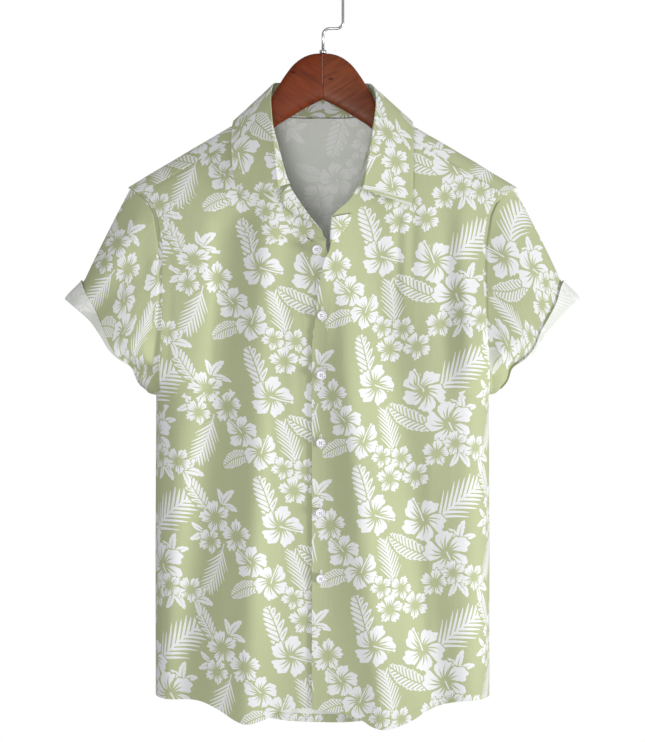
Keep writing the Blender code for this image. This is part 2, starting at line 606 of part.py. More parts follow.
def collar(yoke_grid, left_grid, right_grid):
    yoke_layer = fine_layer(yoke_grid, 6)
    left_layer, right_layer = fine_layer(left_grid[:8], 7), fine_layer(right_grid[:8], 7)
    right_hand = collar_side(COLLAR_RIGHT_HAND, LEFT_NECK, 1.0, 23, (yoke_layer, left_layer))
    left_hand = collar_side(COLLAR_LEFT_HAND, RIGHT_NECK, -1.0, 22, (yoke_layer, right_layer))
    return np.concatenate((left_hand[:, :0:-1], right_hand), axis=1)


def facing(table, extra):
    """A facing that lies on its front between the rolled edge and its free edge."""
    rows = spline(table, 9)
    share = np.linspace(0.0, 1.0, 5)[None, :]
    x = rows[:, 0, None] + (rows[:, 2] - rows[:, 0])[:, None] * share
    z = rows[:, 1, None] + (rows[:, 3] - rows[:, 1])[:, None] * share
    swell = 0.7 * np.sin(math.pi * share)
    y = -(front_depth(x, z) + extra(x) + LAY_OFF - 0.4 + swell)
    return np.stack((x, y, z), axis=2)


def button(name, x, z, seat, mat):
    """Four-hole button standing on its front."""
    sides = 16
    turn = np.linspace(0.0, 2.0 * math.pi, sides, endpoint=False)
    profile = ((BUTTON_R, 0.0), (BUTTON_R, BUTTON_THICK - 0.5), (BUTTON_R - 0.6, BUTTON_THICK),
               (BUTTON_R - BUTTON_RIM - 0.7, BUTTON_THICK - 0.6))
    points, faces = [], []
    for radius, out in profile:
        for a in turn:
            points.append((x + radius * math.cos(a), -(seat + out), z + radius * math.sin(a)))
    for i in range(len(profile) - 1):
        for j in range(sides):
            k = (j + 1) % sides
            faces.append((i * sides + j, i * sides + k, (i + 1) * sides + k, (i + 1) * sides + j))
    last = (len(profile) - 1) * sides
    faces.append(tuple(range(sides - 1, -1, -1)))
    faces.append(tuple(range(last, last + sides)))
    obj = add_mesh(name, points, faces, mat)
    tool_points, tool_faces = [], []
    for i in range(4):
        a = math.pi / 4.0 + i * math.pi / 2.0
        hole_x, hole_z = x + HOLE_SPREAD * math.cos(a), z + HOLE_SPREAD * math.sin(a)
        first = len(tool_points)
        for out in (-1.0, BUTTON_THICK + 1.0):
            for k in range(5):
                b = k * 2.0 * math.pi / 5.0
                tool_points.append((hole_x + HOLE_R * math.cos(b), -(seat + out),
                                    hole_z + HOLE_R * math.sin(b)))
        for k in range(5):
            n = (k + 1) % 5
            tool_faces.append((first + k, first + n, first + 5 + n, first + 5 + k))
        tool_faces.append(tuple(range(first + 4, first - 1, -1)))
        tool_faces.append(tuple(range(first + 5, first + 10)))
    tool = add_mesh(name + "_drill", tool_points, tool_faces, mat, smooth=False)
    tool.hide_render = True
    tool.display_type = "WIRE"
    cut = obj.modifiers.new("holes", "BOOLEAN")
    cut.operation = "DIFFERENCE"
    cut.solver = "EXACT"
    cut.object = tool
    return obj


def hanger_half(name, side, mat):
    """One mitred half of the hanger, lofted along its arm."""
    turn = np.linspace(0.0, 2.0 * math.pi, HANGER_SECTION, endpoint=False) + math.pi / HANGER_SECTION
    points, faces = [], []
    for x, top, low, half, roundness in HANGER:
        middle, tall = (top + low) / 2.0, (top - low) / 2.0
        for a in turn:
            c, s = math.cos(a), math.sin(a)
            y = half * math.copysign(abs(c) ** roundness, c)
            z = middle + tall * math.copysign(abs(s) ** roundness, s)
            points.append((side * x, y, z))
    n = HANGER_SECTION
    for i in range(len(HANGER) - 1):
        for j in range(n):
            k = (j + 1) % n
            faces.append((i * n + j, i * n + k, (i + 1) * n + k, (i + 1) * n + j))
    last = (len(HANGER) - 1) * n
    faces.append(tuple(range(n - 1, -1, -1)))
    faces.append(tuple(range(last, last + n)))
    return add_mesh(name, points, faces, mat)


def ferrule(mat):
    sides = 20
    profile = ((FERRULE_R - 0.5, FERRULE_LOW), (FERRULE_R, FERRULE_LOW + 0.5),
               (FERRULE_R, FERRULE_HIGH - 0.6), (FERRULE_R - 0.8, FERRULE_HIGH))
    points, faces = [], []
    for radius, z in profile:
        for j in range(sides):
            a = 2.0 * math.pi * j / sides
            points.append((HOOK_SHAFT_X + radius * math.cos(a), radius * math.sin(a), z))
    for i in range(len(profile) - 1):
        for j in range(sides):
            k = (j + 1) % sides
            faces.append((i * sides + j, i * sides + k, (i + 1) * sides + k, (i + 1) * sides + j))
    last = (len(profile) - 1) * sides
    faces.append(tuple(range(sides - 1, -1, -1)))
    faces.append(tuple(range(last, last + sides)))
    return add_mesh("ferrule", points, faces, mat)


def hook_path():
    """Centre line of the hook in x and z, from the ferrule to its free tip."""
    path = [(HOOK_SHAFT_X, FERRULE_HIGH + 0.35), (HOOK_SHAFT_X, HOOK_BEND_Z - HOOK_BEND_R)]
    for a in np.radians((22.5, 45.0, 67.5, 90.0)):
        path.append((HOOK_SHAFT_X + HOOK_BEND_R * (1.0 - math.cos(a)),
                     HOOK_BEND_Z - HOOK_BEND_R + HOOK_BEND_R * math.sin(a)))
    for a in np.radians((0.0, 22.5, 45.0, 67.5, 90.0)):
        path.append((HOOK_R - HOOK_BEND_R + HOOK_BEND_R * math.sin(a),
                     HOOK_BEND_Z + HOOK_BEND_R * (1.0 - math.cos(a))))
    for a in np.radians(np.linspace(0.0, HOOK_END_ANGLE, 21)):
        path.append((HOOK_R * math.cos(a), HOOK_CENTRE_Z + HOOK_R * math.sin(a)))
    return np.array(path)


def hook(mat):
    sides = 10
    path = hook_path()
    points, faces = [], []
    count = len(path)
    for i in range(count):
        ahead = path[min(i + 1, count - 1)] - path[max(i - 1, 0)]
        ahead = ahead / np.linalg.norm(ahead)
        normal = np.array((-ahead[1], ahead[0]))
        for j in range(sides):
            a = 2.0 * math.pi * j / sides
            across = normal * WIRE_R * math.cos(a)
            points.append((path[i, 0] + across[0], WIRE_R * math.sin(a), path[i, 1] + across[1]))
    for i in range(count - 1):
        for j in range(sides):
            k = (j + 1) % sides
            faces.append((i * sides + j, i * sides + k, (i + 1) * sides + k, (i + 1) * sides + j))
    last = (count - 1) * sides
    faces.append(tuple(range(sides - 1, -1, -1)))
    faces.append(tuple(range(last, last + sides)))
    return add_mesh("hook", points, faces, mat)


def main():
    for obj in list(bpy.data.objects):
        bpy.data.objects.remove(obj, do_unlink=True)
    left_grid, right_grid, yoke_grid = left_front(), right_front(), yoke()
    shell("front_left", left_grid, material("front_left_print", PRINT_GREEN, 0.85))
    shell("front_right", right_grid, material("front_right_print", PRINT_GREEN, 0.85))
    shell("back", back(), material("back_print", PRINT_GREEN, 0.85))
    shell("yoke", yoke_grid, material("yoke_print", PRINT_GREEN, 0.85))
    shell("collar", collar(yoke_grid, left_grid, right_grid), material("collar_print", PRINT_GREEN, 0.85))
    for name, side, table in (("left", 1.0, LEFT_SLEEVE_FOLDS), ("right", -1.0, RIGHT_SLEEVE_FOLDS)):
        shell("sleeve_" + name, sleeve_grid(side, table, SLEEVE_ROWS, 0.0),
              material("sleeve_" + name + "_print", PRINT_GREEN, 0.85), ring=True)
        shell("turnup_" + name, sleeve_grid(side, table, TURNUP_ROWS, LAY_OFF, TURNUP_SLANT),
              material("turnup_" + name + "_wrong_side", WRONG_SIDE, 0.9), ring=True)
    shell("facing_right", facing(RIGHT_FACING, lambda x: -overlap(x)),
          material("facing_right_print", FACING_PALE, 0.85))
    shell("facing_left", facing(LEFT_FACING, overlap), material("facing_left_print", FACING_PALE, 0.85))
    button_mat = material("button_white", BUTTON_WHITE, 0.3)
    for i, (x, z) in enumerate(BUTTONS):
        side = -1.0 if i == 0 else 1.0
        reach = np.array((x - BUTTON_R, x, x + BUTTON_R, x, x))
        heights = np.array((z, z, z, z - BUTTON_R, z + BUTTON_R))
        seat = float(np.max(front_depth(reach, heights) + side * overlap(reach))) + WALL / 2.0 + 0.3
        button("button_%d" % (i + 1), x, z, seat, button_mat)
    hanger_half("hanger_left", 1.0, material("wood_dark", WOOD_DARK, 0.45))
    hanger_half("hanger_right", -1.0, material("wood_light", WOOD_LIGHT, 0.45))
    steel = material("steel", STEEL, 0.3, 1.0)
    ferrule(steel)
    hook(steel)


main()
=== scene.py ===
import logging
import math
from dataclasses import dataclass, field
from enum import Enum
from functools import partialmethod
from typing import Callable, Optional, Sequence

import bpy
import numpy as np
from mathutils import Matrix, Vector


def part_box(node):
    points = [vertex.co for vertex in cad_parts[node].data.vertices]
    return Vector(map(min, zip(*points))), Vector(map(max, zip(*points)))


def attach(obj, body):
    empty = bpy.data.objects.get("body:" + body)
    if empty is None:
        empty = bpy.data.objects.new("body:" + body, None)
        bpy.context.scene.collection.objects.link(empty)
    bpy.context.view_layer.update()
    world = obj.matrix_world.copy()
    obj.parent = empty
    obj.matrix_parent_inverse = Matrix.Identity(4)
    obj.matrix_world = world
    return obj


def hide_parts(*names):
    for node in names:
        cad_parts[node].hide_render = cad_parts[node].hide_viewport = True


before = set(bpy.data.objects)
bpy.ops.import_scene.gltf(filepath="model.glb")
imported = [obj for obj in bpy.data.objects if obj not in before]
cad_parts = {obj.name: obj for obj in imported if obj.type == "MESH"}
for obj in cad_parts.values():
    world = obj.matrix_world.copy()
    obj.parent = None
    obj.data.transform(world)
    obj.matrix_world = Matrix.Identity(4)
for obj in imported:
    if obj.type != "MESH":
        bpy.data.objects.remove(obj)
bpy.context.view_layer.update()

# A short-sleeved hawaiian shirt on a wooden hanger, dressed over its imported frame.
# Tables are in millimetres.  +X is the wearer's left, the front faces -Y and the origin is the
# inner crown of the hanger's hook.

MM = 0.001
BODY_HEART = (0.0, 0.0, -400.0)
log = logging.getLogger("shirt")

Array = np.ndarray
Table = tuple[tuple[float, ...], ...]
Depth = Callable[[Array, Array], Array]


class Side(Enum):
    """The wearer's side, as the sign of x."""

    LEFT = 1.0
    RIGHT = -1.0

    @property
    def word(self) -> str:
        """The side's name in lower case."""
        return self.name.lower()


class Held(Enum):
    """How a sheet of cloth is held."""

    HUNG = "hung"
    FOLDED = "folded"


# ---- numbers ------------------------------------------------------------------------------


def smooth_step(value: Array, start: float, stop: float) -> Array:
    """Cubic ease from 0 at start to 1 at stop."""
    t = np.clip((value - start) / (stop - start), 0.0, 1.0)
    return t * t * (3.0 - 2.0 * t)


def catmull(values: Array, at: Array) -> Array:
    """Catmull-Rom curve through the rows of an array, read at fractional row numbers.

    Args:
        values: control rows, at least two.
        at: the row numbers to read at, fractions allowed.

    Returns:
        One row for each number in at.
    """
    before, after = 2.0 * values[:1] - values[1:2], 2.0 * values[-1:] - values[-2:-1]
    ends = np.concatenate((before, values, after))
    start = np.clip(np.floor(at).astype(int), 0, len(values) - 2)
    t = (at - start).reshape((-1,) + (1,) * (values.ndim - 1))
    a, b, c, d = (ends[start + k] for k in range(4))
    return 0.5 * (2.0 * b + (c - a) * t + (2.0 * a - 5.0 * b + 4.0 * c - d) * t ** 2
                  + (3.0 * b - a - 3.0 * c + d) * t ** 3)


def run_length(points: Array) -> Array:
    """Distance along a polyline at each of its points."""
    return np.concatenate(([0.0], np.cumsum(np.linalg.norm(np.diff(points, axis=0), axis=1))))


def along_field(points: Array, values: Array, share: Array) -> Array:
    """Values carried by a polyline's points, read at shares of its length.

    Args:
        points: of the polyline.
        values: one row for each point.
        share: where to read them, from 0 to 1.

    Returns:
        One row for each share.
    """
    lengths = run_length(points)
    at = share * lengths[-1]
    return np.stack([np.interp(at, lengths, column) for column in values.T], axis=-1)


def along(points: Array, share: Array) -> Array:
    """Points at the given shares of a polyline's length."""
    return along_field(points, points, np.asarray(share))


def spline(points: Table, count: int, fine: int = 12) -> Array:
    """Smooth curve through a table's points, sampled evenly along its length.

    Args:
        points: the rows that it passes through.
        count: how many samples to give.
        fine: steps between two rows by which the length is measured.

    Returns:
        The samples, one row each.
    """
    rows = np.asarray(points, dtype=float)
    last = len(rows) - 1
    curve = catmull(rows, np.linspace(0.0, last, fine * last + 1))
    return along(curve, np.linspace(0.0, 1.0, count))


def full_turn(count: int) -> Array:
    """Even angles round a full turn, the first of them 0."""
    return np.linspace(0.0, 2.0 * math.pi, count, endpoint=False)


def coords(*parts: Array) -> Array:
    """Coordinates side by side in a last axis, each first spread to the largest's shape."""
    return np.stack(np.broadcast_arrays(*parts), axis=-1)


def travel_down(grid: Array) -> Array:
    """Distance travelled down each column of a grid from its first row."""
    steps = np.linalg.norm(np.diff(grid, axis=0), axis=2)
    return np.concatenate((np.zeros((1, grid.shape[1])), np.cumsum(steps, axis=0)))


def unit(vectors: Array) -> Array:
    """The vectors of the last axis at length one."""
    return vectors / np.maximum(np.linalg.norm(vectors, axis=-1, keepdims=True), 1e-9)


def grid_normals(grid: Array, ring: bool = False) -> Array:
    """Unit normals of a grid of points: the cross product of its two directions of travel.

    Args:
        grid: rows x columns x 3.
        ring: True where the last column joins the first.

    Returns:
        One unit vector for each point.
    """
    down = np.gradient(grid, axis=0, edge_order=2)
    if ring:
        across = 0.5 * (np.roll(grid, -1, axis=1) - np.roll(grid, 1, axis=1))
    else:
        across = np.gradient(grid, axis=1, edge_order=2)
    return unit(np.cross(across, down))


def ripple(u: Array, v: Array, seed: float) -> Array:
    """Small uneven waves: five crossed sines whose phases are bent by two slow ones.

    Args:
        u: place across, in millimetres, where the waves are short.
        v: place along, where they are long.
        seed: shifts every phase.

    Returns:
        Heights from about -1 to 1.
    """
    warp = 1.7 * np.sin(u / 61.0 + seed) + 1.3 * np.sin(v / 83.0 + 2.1 * seed)
    total = np.sin(u / 9.3 + 0.9 * warp + seed) * np.sin(v / 47.0 + warp)
    total = total + 0.8 * np.sin(u / 14.7 - v / 71.0 + 1.3 * warp + 3.0 * seed)
    total = total + 0.7 * np.sin(u / 22.0 + v / 39.0 - warp + 5.0 * seed)
    total = total + 0.5 * np.sin(u / 6.1 + v / 90.0 + 1.1 * warp) * np.sin(v / 33.0 - seed)
    return total / 2.2


# ---- meshes -------------------------------------------------------------------------------


def grid_faces(rows: int, cols: int, width: int, spans: int) -> Array:
    """Quads of a grid as four indices each.

    Args:
        rows: rows of the grid.
        cols: columns of points, at which the second direction wraps round.
        width: length of one row in the indexed list.
        spans: faces in a row.

    Returns:
        An array of (faces, 4).
    """
    i, j = np.meshgrid(np.arange(rows - 1), np.arange(spans), indexing="ij")
    k = (j + 1) % cols
    corners = (i * width + j, i * width + k, (i + 1) * width + k, (i + 1) * width + j)
    return np.stack(corners, axis=-1).reshape(-1, 4)


def new_object(name: str, points: Array, faces: Sequence[Sequence[int]],
               materials: Sequence[bpy.types.Material], smooth: bool = True) -> bpy.types.Object:
    """A mesh object at the origin from points in millimetres.

    Args:
        name: the piece's name.
        points: its vertices.
        faces: vertex numbers of each face.
        materials: its material slots, in order.
        smooth: False for flat faces.

    Returns:
        The linked object.
    """
    mesh = bpy.data.meshes.new(name)
    mesh.from_pydata((np.asarray(points) * MM).tolist(), [], [tuple(map(int, f)) for f in faces])
    for item in materials:
        mesh.materials.append(item)
    mesh.update()
    mesh.polygons.foreach_set("use_smooth", np.full(len(mesh.polygons), smooth))
    obj = bpy.data.objects.new(name, mesh)
    bpy.context.scene.collection.objects.link(obj)
    return obj


def volume_sign(points: Array, quads: Array) -> float:
    """Positive where the quads of a closed mesh face outwards: the sign of its volume."""
    a, b, c, d = (points[quads[:, n]] for n in range(4))
    return float(np.sign(np.sum(a * np.cross(b, c)) + np.sum(a * np.cross(c, d))))


def closed_sweep(name: str, rings: Array, material: bpy.types.Material,
                 loop: bool = False) -> bpy.types.Object:
    """Solid from rings of points: neighbouring rings are joined and the ends are capped.

    Args:
        name: the piece's name.
        rings: rings x points of a ring x 3, in millimetres.
        material: its finish.
        loop: True where the last ring joins the first and no cap is needed.

    Returns:
        The linked object, facing outwards.
    """
    count, sides = rings.shape[:2]
    points = rings.reshape(-1, 3)
    quads = grid_faces(count, sides, sides, sides)
    if loop:
        j = np.arange(sides)
        k = (j + 1) % sides
        last = (count - 1) * sides
        quads = np.vstack((quads, coords(last + j, last + k, k, j)))
    turned = volume_sign(points - points.mean(axis=0), quads) < 0.0
    faces = (quads[:, ::-1] if turned else quads).tolist()
    if not loop:
        first, last = list(range(sides)), list(range((count - 1) * sides, count * sides))
        faces += [first if turned else first[::-1], last[::-1] if turned else last]
    obj = new_object(name, points, faces, [material])
    if not loop:
        for cap in obj.data.polygons[-2:]:
            cap.use_smooth = False
    return obj


def tube_rings(path: Array, radius: float, sides: int, up: Sequence[float],
               loop: bool = False) -> Array:
    """Rings of a round tube: a circle stood square on the path at each of its points.

    Args:
        path: centre line, in millimetres.
        radius: of the circle.
        sides: points of a ring.
        up: a direction that the path never follows.
        loop: True where the path closes on itself.

    Returns:
        rings x sides x 3.
    """
    if loop:
        ahead = unit(np.roll(path, -1, axis=0) - np.roll(path, 1, axis=0))
    else:
        ahead = unit(np.gradient(path, axis=0))
    across = unit(np.cross(ahead, np.asarray(up, dtype=float)))
    rise = np.cross(across, ahead)
    turn = full_turn(sides)[None, :, None]
    return path[:, None] + radius * (across[:, None] * np.cos(turn) + rise[:, None] * np.sin(turn))


@dataclass(frozen=True)
class Lay:
    """Where a piece was cut from the printed cloth.

    Attributes:
        across: print position, across, of the piece's chart origin.
        down: print position, up, of the piece's chart origin.
        turn: degrees the print is turned on the piece.
        lean: sideways drift of the print for each millimetre of its length.
    """

    across: float = 0.0
    down: float = 0.0
    turn: float = 0.0
    lean: float = 0.0

    def place(self, chart: Array) -> Array:
        """The chart moved onto the print: leant, turned, then shifted.

        Args:
            chart: places on the piece, in millimetres.

        Returns:
            Places on the print.
        """
        angle = math.radians(self.turn)
        u, v = chart[..., 0] - self.lean * chart[..., 1], chart[..., 1]
        x = u * math.cos(angle) + v * math.sin(angle) + self.across
        y = v * math.cos(angle) - u * math.sin(angle) + self.down
        return coords(x, y)


@dataclass
class Cloth:
    """One sheet of cloth as a grid of points and its chart on the print.

    Attributes:
        name: the piece's name.
        grid: rows x columns x 3, the middle of the sheet, in millimetres.
        chart: rows x columns x 2 (one column more on a ring), in millimetres.
        ring: True where the last column joins the first.
        wall: thickness of the sheet.
        heart: a point that the sheet faces away from.
        border: distance of the extra line of points that keeps its edges crisp.
    """

    name: str
    grid: Array
    chart: Array
    ring: bool = False
    wall: float = 0.55
    heart: tuple[float, float, float] = BODY_HEART
    border: float = 0.5

    def _with_border(self, axis: int) -> None:
        """Adds a line of points just inside the first and last lines of one direction.

        Args:
            axis: 0 for the first and last rows, 1 for the first and last columns.
        """
        for at_end in (False, True):
            first, second = (-1, -2) if at_end else (0, 1)
            edge, inner = self.grid.take(first, axis), self.grid.take(second, axis)
            gap = np.linalg.norm(inner - edge, axis=-1)
            share = np.clip(self.border / np.maximum(gap, 1e-6), 0.0, 0.5)
            line = edge + (inner - edge) * share[:, None]
            edge_uv, inner_uv = self.chart.take(first, axis), self.chart.take(second, axis)
            if len(share) < len(edge_uv):
                share = np.append(share, share[0])
            line_uv = edge_uv + (inner_uv - edge_uv) * share[:, None]
            where = self.grid.shape[axis] - 1 if at_end else 1
            where_uv = self.chart.shape[axis] - 1 if at_end else 1
            self.grid = np.insert(self.grid, where, line, axis=axis)
            self.chart = np.insert(self.chart, where_uv, line_uv, axis=axis)

    def make(self, face: bpy.types.Material, lining: bpy.types.Material,
             slot: str, nodes: Sequence[str] = ()) -> bpy.types.Object:
        """Builds the sheet as a thin closed wall and sets it on the frame.

        Args:
            face: finish of the side that faces outwards.
            lining: finish of the other side.
            slot: the record's material slot; not used.
            nodes: CAD nodes that it stands for.

        Returns:
            The piece.
        """
        self._with_border(0)
        if not self.ring:
            self._with_border(1)
        rows, cols = self.grid.shape[:2]
        spans = cols if self.ring else cols - 1
        points = self.grid.reshape(-1, 3)
        quads = grid_faces(rows, cols, cols, spans)
        width = self.chart.shape[1]
        marks = grid_faces(rows, width + 1, width, spans)
        a, b, c, d = (points[quads[:, n]] for n in range(4))
        outward = np.sum(np.cross(c - a, d - b) * (0.5 * (a + c) - np.asarray(self.heart)))
        if outward < 0.0:
            quads, marks = quads[:, ::-1], marks[:, ::-1]
        obj = new_object(self.name, points, quads.tolist(), [face, lining])
        layer = obj.data.uv_layers.new(name="cloth")
        layer.data.foreach_set("uv", (self.chart.reshape(-1, 2)[marks.ravel()] * MM).ravel())
        wall = obj.modifiers.new("wall", "SOLIDIFY")
        wall.thickness = self.wall * MM
        wall.offset = 0.0
        wall.material_offset = 1
        seat(obj, nodes)
        return obj


def seat(obj: bpy.types.Object, nodes: Sequence[str] = ()) -> None:
    """Rides a piece on the frame and hides the nodes that it stands for.

    Args:
        obj: the piece.
        nodes: CAD nodes that it stands for, if any.
    """
    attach(obj, "root")
    if nodes:
        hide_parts(*nodes)
    log.info("built %s", obj.name)


def inset(grid: Array, distance: float, lift: float, outward: Array) -> Array:
    """A line on a grid at an even distance from its last row, measured down each column.

    Args:
        grid: rows x columns x 3.
        distance: from the last row, in millimetres.
        lift: how far the line stands off the grid.
        outward: unit normals of the grid, facing away from the wearer.

    Returns:
        columns x 3.
    """
    travel = travel_down(grid[::-1])
    row = np.clip((travel < distance).sum(axis=0) - 1, 0, len(grid) - 2)
    col = np.arange(grid.shape[1])
    step = np.maximum(travel[row + 1, col] - travel[row, col], 1e-6)
    share = ((distance - travel[row, col]) / step)[:, None]
    raised = (grid + lift * outward)[::-1]
    return raised[row, col] * (1.0 - share) + raised[row + 1, col] * share


# ---- sewing -------------------------------------------------------------------------------


@dataclass(frozen=True)
class Thread:
    """A lockstitch line, drawn as short spindles of thread.

    Attributes:
        pitch: distance from one stitch to the next.
        heading: share of it, to either side, over which a stitch's direction is taken.
        length: of the thread that shows.
        width: half width of the thread.
        height: half height of the thread.
    """

    pitch: float = 2.7
    heading: float = 0.3
    length: float = 2.0
    width: float = 0.26
    height: float = 0.2

    def sew(self, name: str, lines: Sequence[tuple[Array, Array]],
            material: bpy.types.Material) -> bpy.types.Object:
        """Stitches along lines: each is a spindle of six points about a step of its line.

        Args:
            name: the piece's name.
            lines: pairs of points and the outward directions at them.
            material: the thread's finish.

        Returns:
            The piece.
        """
        centres, aheads, ups = [], [], []
        for points, outward in lines:
            total = run_length(points)[-1]
            count = max(int(total / self.pitch), 2)
            share = (np.arange(count) + 0.5) / count
            step = self.heading * self.pitch / total
            centre = along(points, share)
            centres.append(centre)
            aheads.append(along(points, share + step) - along(points, share - step))
            ups.append(along_field(points, outward, share))
        centre, ahead, up = np.vstack(centres), unit(np.vstack(aheads)), unit(np.vstack(ups))
        across = unit(np.cross(ahead, up))
        up = np.cross(across, ahead)
        tips = (centre - ahead * self.length / 2.0, centre + ahead * self.length / 2.0)
        belt = (centre + across * self.width, centre + up * self.height,
                centre - across * self.width, centre - up * self.height)
        points = np.stack(tips + belt, axis=1)
        shape = np.array(((0, 3, 2), (0, 4, 3), (0, 5, 4), (0, 2, 5),
                          (1, 2, 3), (1, 3, 4), (1, 4, 5), (1, 5, 2)))
        first = points[0]
        a, b, c = (first[shape[:, n]] for n in range(3))
        if np.sum(a * np.cross(b, c)) - np.sum(first.mean(axis=0) * np.cross(b - a, c - a)) < 0.0:
            shape = shape[:, ::-1]
        faces = (shape[None] + 6 * np.arange(len(points))[:, None, None]).reshape(-1, 3)
        obj = new_object(name, points.reshape(-1, 3), faces.tolist(), [material])
        seat(obj)
        return obj


# ---- the hanging body ---------------------------------------------------------------------


@dataclass(frozen=True)
class BodyForm:
    """The form of the hanging shirt: the height of its ridge and the depth of its cloth."""

    ridge_top: float = -108.9
    ridge_slope: float = 0.617
    ridge_round: float = 30.0
    front_rise: float = 4.3
    front_settle: float = 0.065
    back_rise: float = 5.0
    back_settle: float = 0.08
    side_power: float = 9.0
    # heights, and half the width of the outline at them
    body_z: tuple[float, ...] = (
        -960, -700, -510.9, -500, -480, -440, -400, -331, -280, -257, -200)
    body_w: tuple[float, ...] = (203, 203.5, 202.72, 207.5, 216, 227, 233, 242, 258, 268, 290)
    # heights, and x of the armhole seam at them
    arm_z: tuple[float, ...] = (-511, -420, -368, -331, -294, -280, -269, -263, -257)
    arm_w: tuple[float, ...] = (202.7, 199, 197.8, 199, 206, 212.5, 221, 229, 238.5)
    underarm_z: float = -511.0
    shoulder_z: float = -257.0
    fold_foot_z: float = -900.0
    lap: float = 1.35
    lap_fade: tuple[float, float] = (26.0, 62.0)
    # x at the top, x at the foot, height of the top, height it is full at, half width, rise
    front_folds: Table = (
        (-105, -168, -262, -320, 22, -9), (-105, -166, -420, -760, 28, -9),
        (-66, -90, -262, -330, 20, 6), (-66, -90, -400, -700, 24, 5),
        (-208, -211, -300, -500, 26, 9), (4, 4, -245, -300, 24, 8), (4, 4, -335, -420, 24, -8),
        (14, 70, -350, -520, 20, 11), (38, 95, -350, -520, 34, 8), (26, 38, -560, -760, 22, 5),
        (60, 138, -300, -420, 26, -10), (190, 194, -330, -480, 33, 14))
    back_folds: Table = (
        (-146, -150, -420, -600, 21, -9), (-104, -112, -360, -560, 22, 8),
        (-58, -62, -330, -520, 21, -10), (-8, -4, -320, -540, 25, 8), (48, 56, -330, -520, 20, -9),
        (96, 108, -380, -580, 22, 9), (140, 152, -440, -620, 19, -9))
    # x at the top, x at the foot, height of the top, height of the foot, half width, rise
    front_creases: Table = (
        (-128, -133, -275, -520, 7, -1.2), (-60, -66, -420, -760, 6, -1),
        (-34, -38, -330, -640, 7, 1), (-184, -190, -330, -700, 6, -1.2),
        (12, 14, -340, -480, 8, -1.5), (60, 58, -420, -800, 6, 0.8), (90, 92, -262, -420, 6, -2.2),
        (108, 110, -262, -400, 7, -2.2), (150, 150, -262, -520, 14, -4),
        (170, 170, -262, -520, 12, 3.5), (128, 128, -560, -860, 6, 1))
    back_creases: Table = (
        (-168, -176, -300, -640, 7, -2), (-124, -130, -290, -470, 6, 1.6),
        (-80, -84, -420, -820, 7, 1.6), (-30, -33, -290, -600, 6, -1.7),
        (22, 26, -420, -840, 7, -1.7), (74, 82, -290, -560, 6, 1.8),
        (122, 132, -330, -700, 7, -1.8), (172, 178, -300, -620, 6, 1.8))
    crease_ends: float = 0.7
    wander: float = 2.0
    wander_length: float = 41.0
    ripple_high: float = 0.3
    front_seed: float = 0.7
    back_seed: float = 2.9

    def ridge(self, x: Array) -> Array:
        """Height of the shoulder ridge: two slopes joined by a rounded crest."""
        return self.ridge_top - np.hypot(self.ridge_slope * x, self.ridge_round)

    def width(self, z: Array) -> Array:
        """Half width of the body's outline at a height."""
        return np.interp(z, self.body_z, self.body_w)

    def arm_x(self, z: Array) -> Array:
        """Half width of the armhole seam, and of the side seam below it."""
        z = np.asarray(z, dtype=float)
        return np.where(z < self.underarm_z, self.width(z), np.interp(z, self.arm_z, self.arm_w))

    def side_turn(self, x: Array, z: Array) -> Array:
        """Falls from one at the middle to nothing at the side seams."""
        share = np.clip(np.abs(x) / self.width(z), 0.0, 1.0)
        return np.sqrt(1.0 - share ** self.side_power)

    def folds(self, x: Array, z: Array, table: Table) -> Array:
        """Sum of soft troughs and ridges: each a bell across, grown in from its top.

        Args:
            x: place across.
            z: height.
            table: the folds, a row each.

        Returns:
            How far they push the cloth out.
        """
        total = np.zeros(np.broadcast(x, z).shape)
        for x_top, x_foot, z_top, z_full, half, rise in table:
            down = np.clip((z_top - z) / (z_top - self.fold_foot_z), 0.0, 1.0)
            bell = np.exp(-((x - x_top - (x_foot - x_top) * down) / half) ** 2)
            total = total + rise * smooth_step(-z, -z_top, -z_full) * bell
        return total

    def creases(self, x: Array, z: Array, table: Table) -> Array:
        """Sum of narrow creases: each a bell across and a half sine down its length.

        Args:
            x: place across.
            z: height.
            table: the creases, a row each.

        Returns:
            How far they push the cloth out.
        """
        total = np.zeros(np.broadcast(x, z).shape)
        for x_top, x_foot, z_top, z_foot, half, rise in table:
            down = np.clip((z_top - z) / (z_top - z_foot), 0.0, 1.0)
            wander = self.wander * np.sin(z / self.wander_length + x_top)
            bell = np.exp(-((x - x_top - (x_foot - x_top) * down - wander) / half) ** 2)
            total = total + rise * np.sin(math.pi * down) ** self.crease_ends * bell
        return total

    def _plain(self, x: Array, z: Array, rise: float, settle: float, table: Table) -> Array:
        """Depth of one side of the shirt without its small creases.

        It is rise times s less settle times s squared, where s is the root of the drop below
        the ridge, plus the folds, all turned in at the side seams.

        Args:
            x: place across.
            z: height.
            rise: how fast it leaves the ridge.
            settle: how that slows.
            table: its folds.

        Returns:
            Distance from the middle plane.
        """
        s = np.sqrt(np.maximum(self.ridge(x) - z, 0.0))
        out = rise * s - settle * s * s + self.folds(x, z, table)
        return out * self.side_turn(x, z)

    def plain_front(self, x: Array, z: Array) -> Array:
        """Depth of the front without its small creases."""
        return self._plain(x, z, self.front_rise, self.front_settle, self.front_folds)

    def plain_back(self, x: Array, z: Array) -> Array:
        """Depth of the back without its small creases."""
        return self._plain(x, z, self.back_rise, self.back_settle, self.back_folds)

    def _fine(self, x: Array, z: Array, table: Table, seed: float) -> Array:
        """Creases and small waves, fading towards the side seams."""
        fine = self.creases(x, z, table) + self.ripple_high * ripple(x, z, seed)
        return fine * self.side_turn(x, z) ** 2

    def front(self, x: Array, z: Array) -> Array:
        """Depth of the front with its creases."""
        return self.plain_front(x, z) + self._fine(x, z, self.front_creases, self.front_seed)

